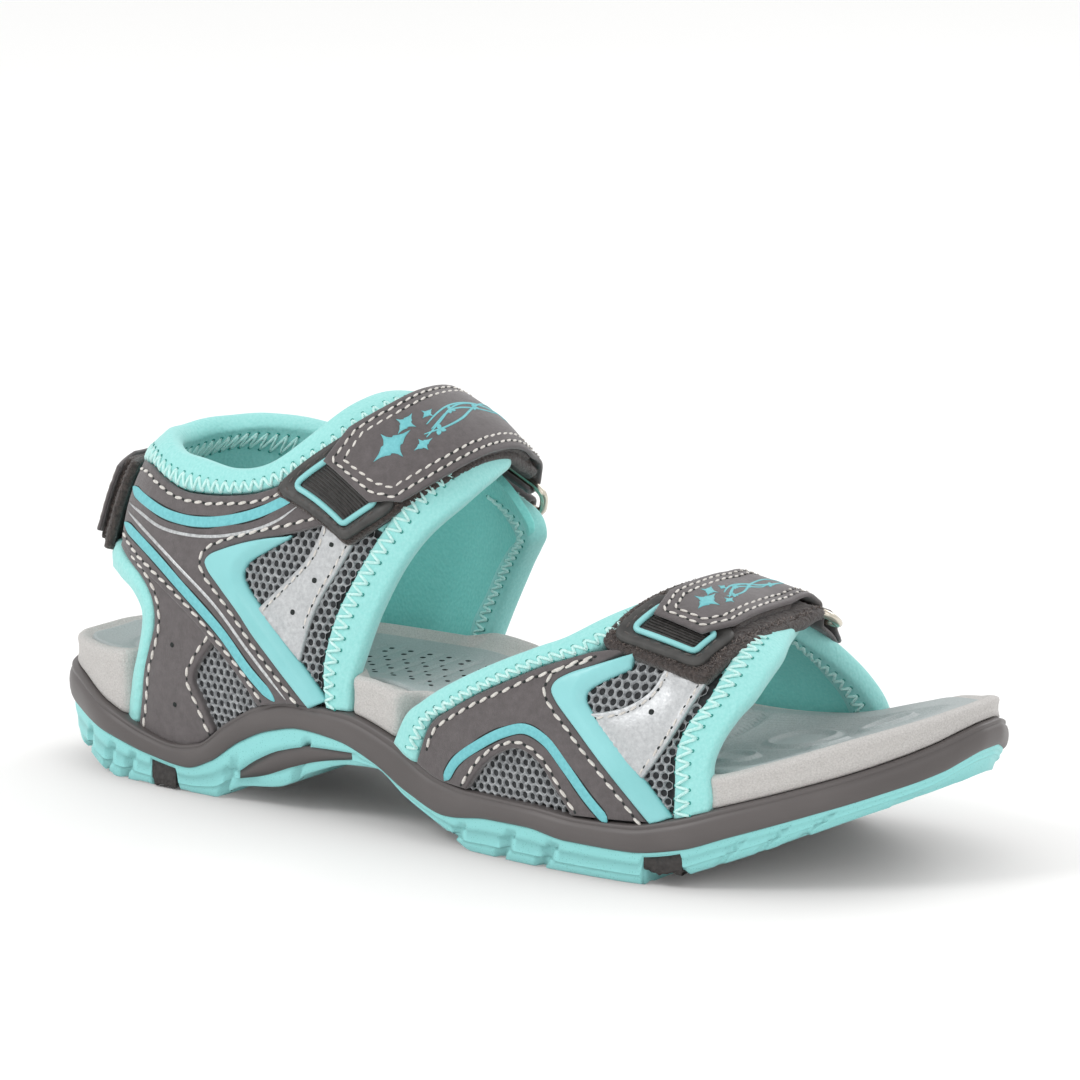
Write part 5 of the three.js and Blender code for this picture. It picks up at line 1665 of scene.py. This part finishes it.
def band(name, track, outline, heights, material, node, body=ROOT, *, edge, step=1.1, relief=None):
    """A piece cut to an outline in (s, t), laid on a track."""
    low, high = heights
    flat, tris, distance = cut_shape(outline, step, edge, (0.15, 0.5, 1.0), 1.3, 0.0)
    top = high - rounded(distance, edge) + (relief(flat, distance) if relief else 0)
    verts = np.concatenate([track.at(flat[:, 0], flat[:, 1], n) for n in (top, low)])
    piece(name, verts, doubled(tris, len(flat)), material, body, stands_for=[node], merge=MERGE)


def softened(corners, radius, step=0.5):
    """A closed polygon with rounded corners."""
    corners = np.array(corners, float)
    out = []
    for i, corner in enumerate(corners):
        before, after = unit(corners[i - 1] - corner), unit(corners[(i + 1) % len(corners)] - corner)
        reach = radius / math.tan(math.acos(float(np.clip(before @ after, -1, 1))) / 2)
        a, b = corner + before * reach, corner + after * reach
        w = np.linspace(0, 1, 7)[:, None]
        out.append(a * (1 - w) ** 2 + 2 * corner * w * (1 - w) + b * w**2)
    line = np.vstack(out + [out[0][:1]])
    return along(line, np.linspace(0, 1, int(length_of(line) / step) + 1))[:-1]


def build_flap(name, track, half, length, tip, slant):
    """A flap: round its bar, then over the foot to its chamfered tip. Returns its face's height(s, t)."""
    RADIUS = 0.55
    body = f"{name}_flap_body"
    total = HALF_TURN + length

    def sewn(q, t):
        """Relief of the two sewn rows, and a slight swell between them."""
        w = half_at(q)
        rows = sum(np.exp(-(((w - np.abs(t)) - reach) / 0.45) ** 2) for reach in (1.9, 3.9))
        return -0.16 * rows + 0.12 * np.sin(0.23 * q + 0.4) * smoothstep(w - np.abs(t), 0.5, 4)

    def half_at(q):
        return half * (tip + (1 - tip) * np.clip((total - q) / TIP_RUN, 0, 1))

    q = np.unique(np.concatenate([
        np.linspace(-0.4, HALF_TURN, 16), HALF_TURN + spaced(length, 1.4, 0.6) * length,
        [total - TIP_RUN, total - TIP_RUN + 0.4],
    ]))
    near = np.array([0, 0.004, 0.016, 0.04, 0.09, 0.16])
    across = np.concatenate([-1 + near, np.linspace(-0.72, 0.72, 13), 1 - near[::-1]])
    s, n, ds, dn = (v[:, None] for v in folded(q, 0.0, 1))
    w = half_at(q)[:, None]
    t = across[None] * w
    fall = rounded(np.minimum((1 - np.abs(across))[None] * w, (q[-1] - q)[:, None] + 0 * t), RADIUS)
    skew = (slant * np.maximum(0, 1 - (total - q) / (TIP_RUN * 1.35)))[:, None] * t
    faces_at = (THICK / 2 - fall + sewn(q[:, None], t), -THICK / 2 + fall * 0.8)
    verts, faces = shut(*(track.at(s + skew + ds * out, t, n + dn * out) for out in faces_at))
    piece(f"{name}_flap_strap", verts, faces, "nubuck", body, stands_for=[f"{name}_flap"], merge=MERGE)

    def border(reach):
        """A line round the flap, a distance in from its edge: down one side, across the tip, and back."""
        w, w_tip = half - reach, half * tip - reach * 0.75
        turn = length - TIP_RUN - reach * 0.25
        corner = lambda t: length - reach + slant * t
        parts = (
            ((1.0, -w), (turn, -w), 30),
            ((turn + 0.6, -w + 0.25), (corner(-w_tip) - 0.4, -w_tip - 0.25), 8),
            ((corner(-w_tip), -w_tip + 0.4), (corner(w_tip), w_tip - 0.4), 16),
            ((corner(w_tip) - 0.4, w_tip + 0.25), (turn + 0.6, w - 0.25), 8),
            ((turn, w), (1.0, w), 30),
        )
        return np.vstack([along(np.array([a, b]), np.linspace(0, 1, count)) for a, b, count in parts])

    for row, reach in (("outer", 1.8), ("inner", 3.8)):
        stitches(f"{name}_flap_stitches_{row}", track.place(FLAP_N + THICK / 2 - 0.12), border(reach),
                 body=body,
                 size=(2.0, 0.66, 0.55), pitch=2.75)
    return lambda s, t: FLAP_N + THICK / 2 + sewn(s + HALF_TURN, t)


def build_hook_and_loop(name, track, half, length, slant, patch):
    """The hook band under the flap and the loop band sewn to the sandal below, with their loose fibres."""
    body = f"{name}_flap_body"
    hook = [12.0, length - (9.5 if patch else 1.6)]
    w = half - 0.4
    outline = softened([(hook[0], -w), (hook[1], -w), (hook[1], w), (hook[0], w)], 1.2)
    band(f"{name}_hook_band", track, outline, HOOK, "hook_and_loop", f"{name}_flap_hook", body, edge=0.4)

    def pile(p, distance):
        return 0.3 * np.sin(p[:, 0] * 5.1 + np.sin(p[:, 1] * 3.3)) * np.sin(p[:, 1] * 4.3 + p[:, 0])

    near = 3.8
    far, rear, fore, lean = length + 2.0, half + 0.9, half + 0.9, 0.0
    if patch:
        far = length + (patch["to"] + patch["pile"])
        rear = max(half, patch["half"]) + patch["pile"]
        fore, lean = rear + patch["lap"], slant
    shift = lean * half * 1.1
    outline = softened(
        [(near, -rear), (far - shift, -rear), (far + shift, fore), (near, fore)], 3.4 if patch else 2.0
    )
    band(f"{name}_loop_band", track, outline, (-0.6, LOOP_TOP), "hook_and_loop", f"{name}_loop_strap",
         edge=1.0,
         step=0.8, relief=pile)

    def loop_place(a, b, c):
        by_edge = np.where(b < 0.3, -rear + 0.5 + 2.6 * c, fore - 0.5 - 2.6 * c)
        t = np.where(b < 0.72, by_edge, -rear + 3 + a * (rear + fore - 6))
        skew = lean * 1.1 * t
        s = np.where(b < 0.72, 4.5 + a * (far - 7.5 + skew), far - 0.9 - 2.6 * c + skew)
        return s, t, 0.4 + (LOOP_TOP - 0.5) * np.minimum(1, 3 * c)

    def hook_place(a, b, c):
        s = np.where(b < 0.7, hook[0] + a * (hook[1] - hook[0]), hook[1] - 0.5 * c)
        t = np.where(b < 0.7, np.where(b < 0.35, -1, 1) * (half - 0.7 - 0.5 * c), (half - 1) * (2 * a - 1))
        return s, t, 1.4 + 1.8 * c

    count = int(16 * length)
    fuzz(f"{name}_loop_fuzz", track, count * 2, loop_place, ROOT, 0.5, 1.2)
    fuzz(f"{name}_hook_fuzz", track, count, hook_place, body, 0.4, 0.9)


def build_patch(name, track, length, slant, patch):
    """The moulded patch at the flap's tip: its frame, ribs, coloured bead and seam."""
    near, far, w = length + patch["from"], length + patch["to"], patch["half"]
    end = lambda t: far + slant * t
    outline = softened([(near, -w), (end(-w), -w), (end(w), w), (near, w)], 3.6)

    def sunk(p, distance):
        groove = smoothstep(distance, PATCH_RIM - 0.5, PATCH_RIM + 0.2)
        return -0.75 * groove + 0.22 * np.exp(-((distance - 0.9) / 0.35) ** 2)

    band(f"{name}_patch_frame", track, outline, PATCH, "patch_plastic", f"{name}_patch", edge=0.7, step=0.8,
         relief=sunk)
    # Ribs of its sunk middle, across the strap
    t = np.linspace(-w + PATCH_RIM + 2.4, w - PATCH_RIM - 2.4, 12)
    ribs = [tube(track.at(s + slant * t, t, 2.62), 0.27, sides=5)
            for s in np.arange(length - 1.5, far - PATCH_RIM - 2.4, 0.85)]
    piece(f"{name}_patch_ribs", *gather(ribs), "tread_rubber")
    # The coloured bead round the sunk middle, open towards the flap
    leg, start = w - PATCH_RIM - 1.1, length - patch["legs"]
    bead = [
        (start, -leg), (end(-leg) - PATCH_RIM - 1.1, -leg), (end(leg) - PATCH_RIM - 1.1, leg), (start, leg)
    ]
    line = softened(bead, 1.6, step=0.45)
    on_bead = line[:, 0] > start + 0.05
    k = int(np.argmax(~on_bead & np.roll(on_bead, -1)))
    line = np.roll(line, -k - 1, axis=0)[: int(on_bead.sum())]
    verts, faces = tube(track.at(line[:, 0], line[:, 1], 2.95), 0.78, sides=10)
    piece(f"{name}_patch_bead", verts, faces, "mint_moulding", stands_for=[f"{name}_patch_inlay"])
    seam = softened([(near + 1, -w + 2.0), (end(-w) - 2.0, -w + 2.0), (end(w) - 2.0, w - 2.0),
                     (near + 1, w - 2.0)],
                    2.6)
    stitches(f"{name}_patch_stitches", track.place(2.95), seam[seam[:, 0] > length - 3], "thread_dark",
             size=(1.9, 0.6, 0.5), pitch=2.7, holes=None)


def build_ring(name, track, half):
    """The ring of wire, and the keeper: a loop of strap round its other bar, sewn down on the sandal."""
    wide = half + 3.5
    ring = softened(
        [(0, -wide), (0, wide), (-RING_LENGTH, wide), (-RING_LENGTH, -wide)], RING_CORNER, step=0.9
    )
    verts, faces = tube(track.at(ring[:, 0], ring[:, 1], BAR_HEIGHT), WIRE, sides=12, closed=True)
    piece(f"{name}_ring_wire", verts, faces, "ring_steel", f"{name}_ring_body", stands_for=[f"{name}_ring"])

    w = half - 0.6
    s_fold, n_fold, _, _ = folded(np.linspace(0, HALF_TURN, 14), -RING_LENGTH, -1)
    under = np.linspace(-RING_LENGTH - 10, -RING_LENGTH, 7)[:-1]
    over = np.linspace(0, 1, 9)[1:]
    over_n = KEEPER_SEWN + (2 * FOLD - KEEPER_SEWN) * (1 - smoothstep(over, 0.1, 0.75))
    s = np.concatenate([under, s_fold, -RING_LENGTH - 10.5 * over])
    n = np.concatenate([under * 0, n_fold, over_n])
    ds, dn = np.gradient(s), np.gradient(n)
    size = np.hypot(ds, dn)
    t = np.concatenate([[-w, -w + 0.1, -w + 0.5], np.linspace(-w + 2, w - 2, 9), [w - 0.5, w - 0.1, w]])
    out = THICK / 2 - rounded(w - np.abs(t), 0.5)
    side_s, side_n = (-dn / size)[:, None], (ds / size)[:, None]
    s, n = s[:, None], n[:, None]
    verts, faces = shut(*(track.at(s + side_s * o, t[None], n + side_n * o) for o in (-out, out)))
    piece(f"{name}_keeper_loop", verts, faces, "nubuck", stands_for=[f"{name}_ring_keeper"], merge=MERGE)
    across = np.linspace(-w + 1.4, w - 1.4, 20)
    for row, back in enumerate((5.2, 7.4)):
        line = np.stack([0 * across - RING_LENGTH - back, across], -1)
        stitches(f"{name}_keeper_stitches_{row}", track.place(KEEPER_SEWN + THICK / 2 - 0.1), line,
                 size=(2.0, 0.7, 0.6), pitch=2.9)


def build_closure(name, last, points, rise, half, length, tip, slant, patch=None):
    """A closure. The flap's half width and length are given, and how wide and how skewed its tip is."""
    track = Track(last, points, rise)
    face = build_flap(name, track, half, length, tip, slant)
    build_hook_and_loop(name, track, half, length, slant, patch)
    if patch:
        build_patch(name, track, length, slant, patch)
    build_ring(name, track, half)
    return track, face


# ---------- the print on two of the straps ----------
def leaf(centre, angle, size):
    """A small pointed leaf outline."""
    w = np.linspace(0, 1, 9)
    up = np.stack([w * size, 0.32 * size * np.sin(np.pi * w) ** 0.8], -1)
    shape = np.vstack([up, (up * (1, -1))[-2:0:-1]])
    c, s = math.cos(angle), math.sin(angle)
    return shape @ np.array([[c, s], [-s, c]]) + centre


def sparkle(centre, size, turn):
    """A four-pointed sparkle with hollow sides."""
    a = np.linspace(0, 2 * np.pi, 48, endpoint=False)
    r = size / (np.abs(np.cos(a)) ** 0.62 + np.abs(np.sin(a)) ** 0.62) ** (1 / 0.62)
    r = r * np.where(np.abs(np.cos(a)) > np.abs(np.sin(a)), 1.0, 0.8)
    return np.stack([np.cos(a + turn) * r, np.sin(a + turn) * r], -1) + centre


def printed_shapes(name, track, shapes, surface, body):
    """Thin printed shapes, each an outline in (s, t), on a surface given as a height over the track."""
    parts = []
    for shape in shapes:
        count = len(shape)
        middle = shape.mean(axis=0)
        ring = np.vstack([shape, middle + (shape - middle) * 0.5, middle[None]])
        over = track.at(ring[:, 0], ring[:, 1], surface(ring[:, 0], ring[:, 1]) + 0.1)
        under = track.at(shape[:, 0], shape[:, 1], surface(shape[:, 0], shape[:, 1]) - 0.08)
        faces = []
        for i in range(count):
            j, k = (i + 1) % count, 2 * count + 1
            faces += [(i, j, count + j, count + i), (count + i, count + j, 2 * count), (j, i, k + i, k + j)]
        parts.append((np.vstack([over, under]), faces))
    piece(name, *gather(parts), "mint_print", body)


def printed_lines(name, track, lines, surface, body):
    """Raised printed lines, thinner towards their ends."""
    WIDTH, ENDS = 0.6, 0.35
    parts = []
    for points in lines:
        line = spline(points, per=12)
        t = unit(np.gradient(line, axis=0))
        u = np.linspace(0, 1, len(line))[:, None]
        w = np.stack([-t[:, 1], t[:, 0]], -1) * (WIDTH / 2 * (ENDS + (1 - ENDS) * np.sin(np.pi * u) ** 0.5))
        rows = []
        for share, rise in ((-1, -0.08), (-1, 0.06), (0, 0.12), (1, 0.06), (1, -0.08)):
            q = line + w * share
            rows.append(track.at(q[:, 0], q[:, 1], surface(q[:, 0], q[:, 1]) + rise))
        faces = grid_faces(len(line), 5, wrap=True)
        faces += [tuple(range(5))[::-1], tuple(range((len(line) - 1) * 5, len(line) * 5))]
        parts.append((np.stack(rows, axis=1).reshape(-1, 3), faces))
    piece(name, *gather(parts), "mint_print", body)


def flourish(name, track, face, s0, s1, size):
    """The print on a strap: long crossing waves with leaves, and a few sparkles near its tip."""
    body = f"{name}_flap_body"

    def wave(u, height, phase, turns):
        return s0 + (s1 - s0) * u, height * size * math.sin(turns * math.pi * u + phase)

    us = np.linspace(0, 1, 9)
    lines = [
        [wave(u, 2.6, 0.3, 2.2) for u in us],
        [wave(u, 2.2, 2.6, 2.0) for u in us],
        [wave(0.2 + 0.75 * u, 3.2, 1.2, 1.6) for u in us],
        [wave(0.35 + 0.6 * u, 1.6, 4.2, 3.0) for u in us],
    ]
    printed_lines(f"{name}_print_waves", track, lines, face, body)
    stems = [wave(u, *shape) for u, shape in (
        (0.3, (2.6, 0.3, 2.2)), (0.55, (2.2, 2.6, 2.0)), (0.75, (2.6, 0.3, 2.2)), (0.92, (2.2, 2.6, 2.0)),
    )]
    leaves = [leaf(np.array(stem), angle, 1.5 * size) for stem in stems for angle in (0.9, 2.4, 4.0)]
    printed_shapes(f"{name}_print_leaves", track, leaves, face, body)
    stars = [
        sparkle((s1 + 7.0 * size, -0.8 * size), 5.4 * size, 0.2),
        sparkle((s1 + 1.6 * size, -4.2 * size), 3.4 * size, 0.5),
        sparkle((s1 + 1.4 * size, 3.2 * size), 2.2 * size, 0.1),
        sparkle((s1 - 4.2 * size, -3.6 * size), 2.0 * size, 0.3),
    ]
    printed_shapes(f"{name}_print_sparkles", track, stars, face, body)


# A patch's start, end and half width, from the flap's end; how far its bead's legs run back; and how far
# the loop band stands out round it, and past it in front
instep_track, instep_face = build_closure(
    "instep", REAR,
    REAR.over([(61, 70), (61.5, 53), (62, 36), (62.5, 4), (63, -16), (66, -33), (71.5, -47), (79, -60)]),
    0.0, 12.0, 64.0, 0.66, -0.35,
    {"from": -8.0, "to": 12.5, "half": 12.0, "legs": 4.0, "pile": 1.0, "lap": 0.0},
)
forefoot_track, forefoot_face = build_closure(
    "forefoot", VAMP,
    VAMP.over([(64, 147), (65, 130), (66, 113), (66.5, 96), (65.5, 76), (63, 57), (60, 38)]),
    0.0, 10.0, 44.0, 0.66, -0.15,
    {"from": -8.0, "to": 8.5, "half": 12.0, "legs": 4.0, "pile": 2.2, "lap": 1.2},
)
build_closure(
    "heel", REAR,
    [(-77, 27, 67), (-87, 25, 67), (-98, 22, 67), (-108, 15, 67), (-113, 0, 67), (-108, -15, 67),
     (-94, -23, 68)],
    2.0, 11.0, 41.0, 0.75, 0.0,
)
flourish("instep", instep_track, instep_face, 6.0, 44.0, 1.0)
flourish("forefoot", forefoot_track, forefoot_face, 4.0, 28.0, 0.78)
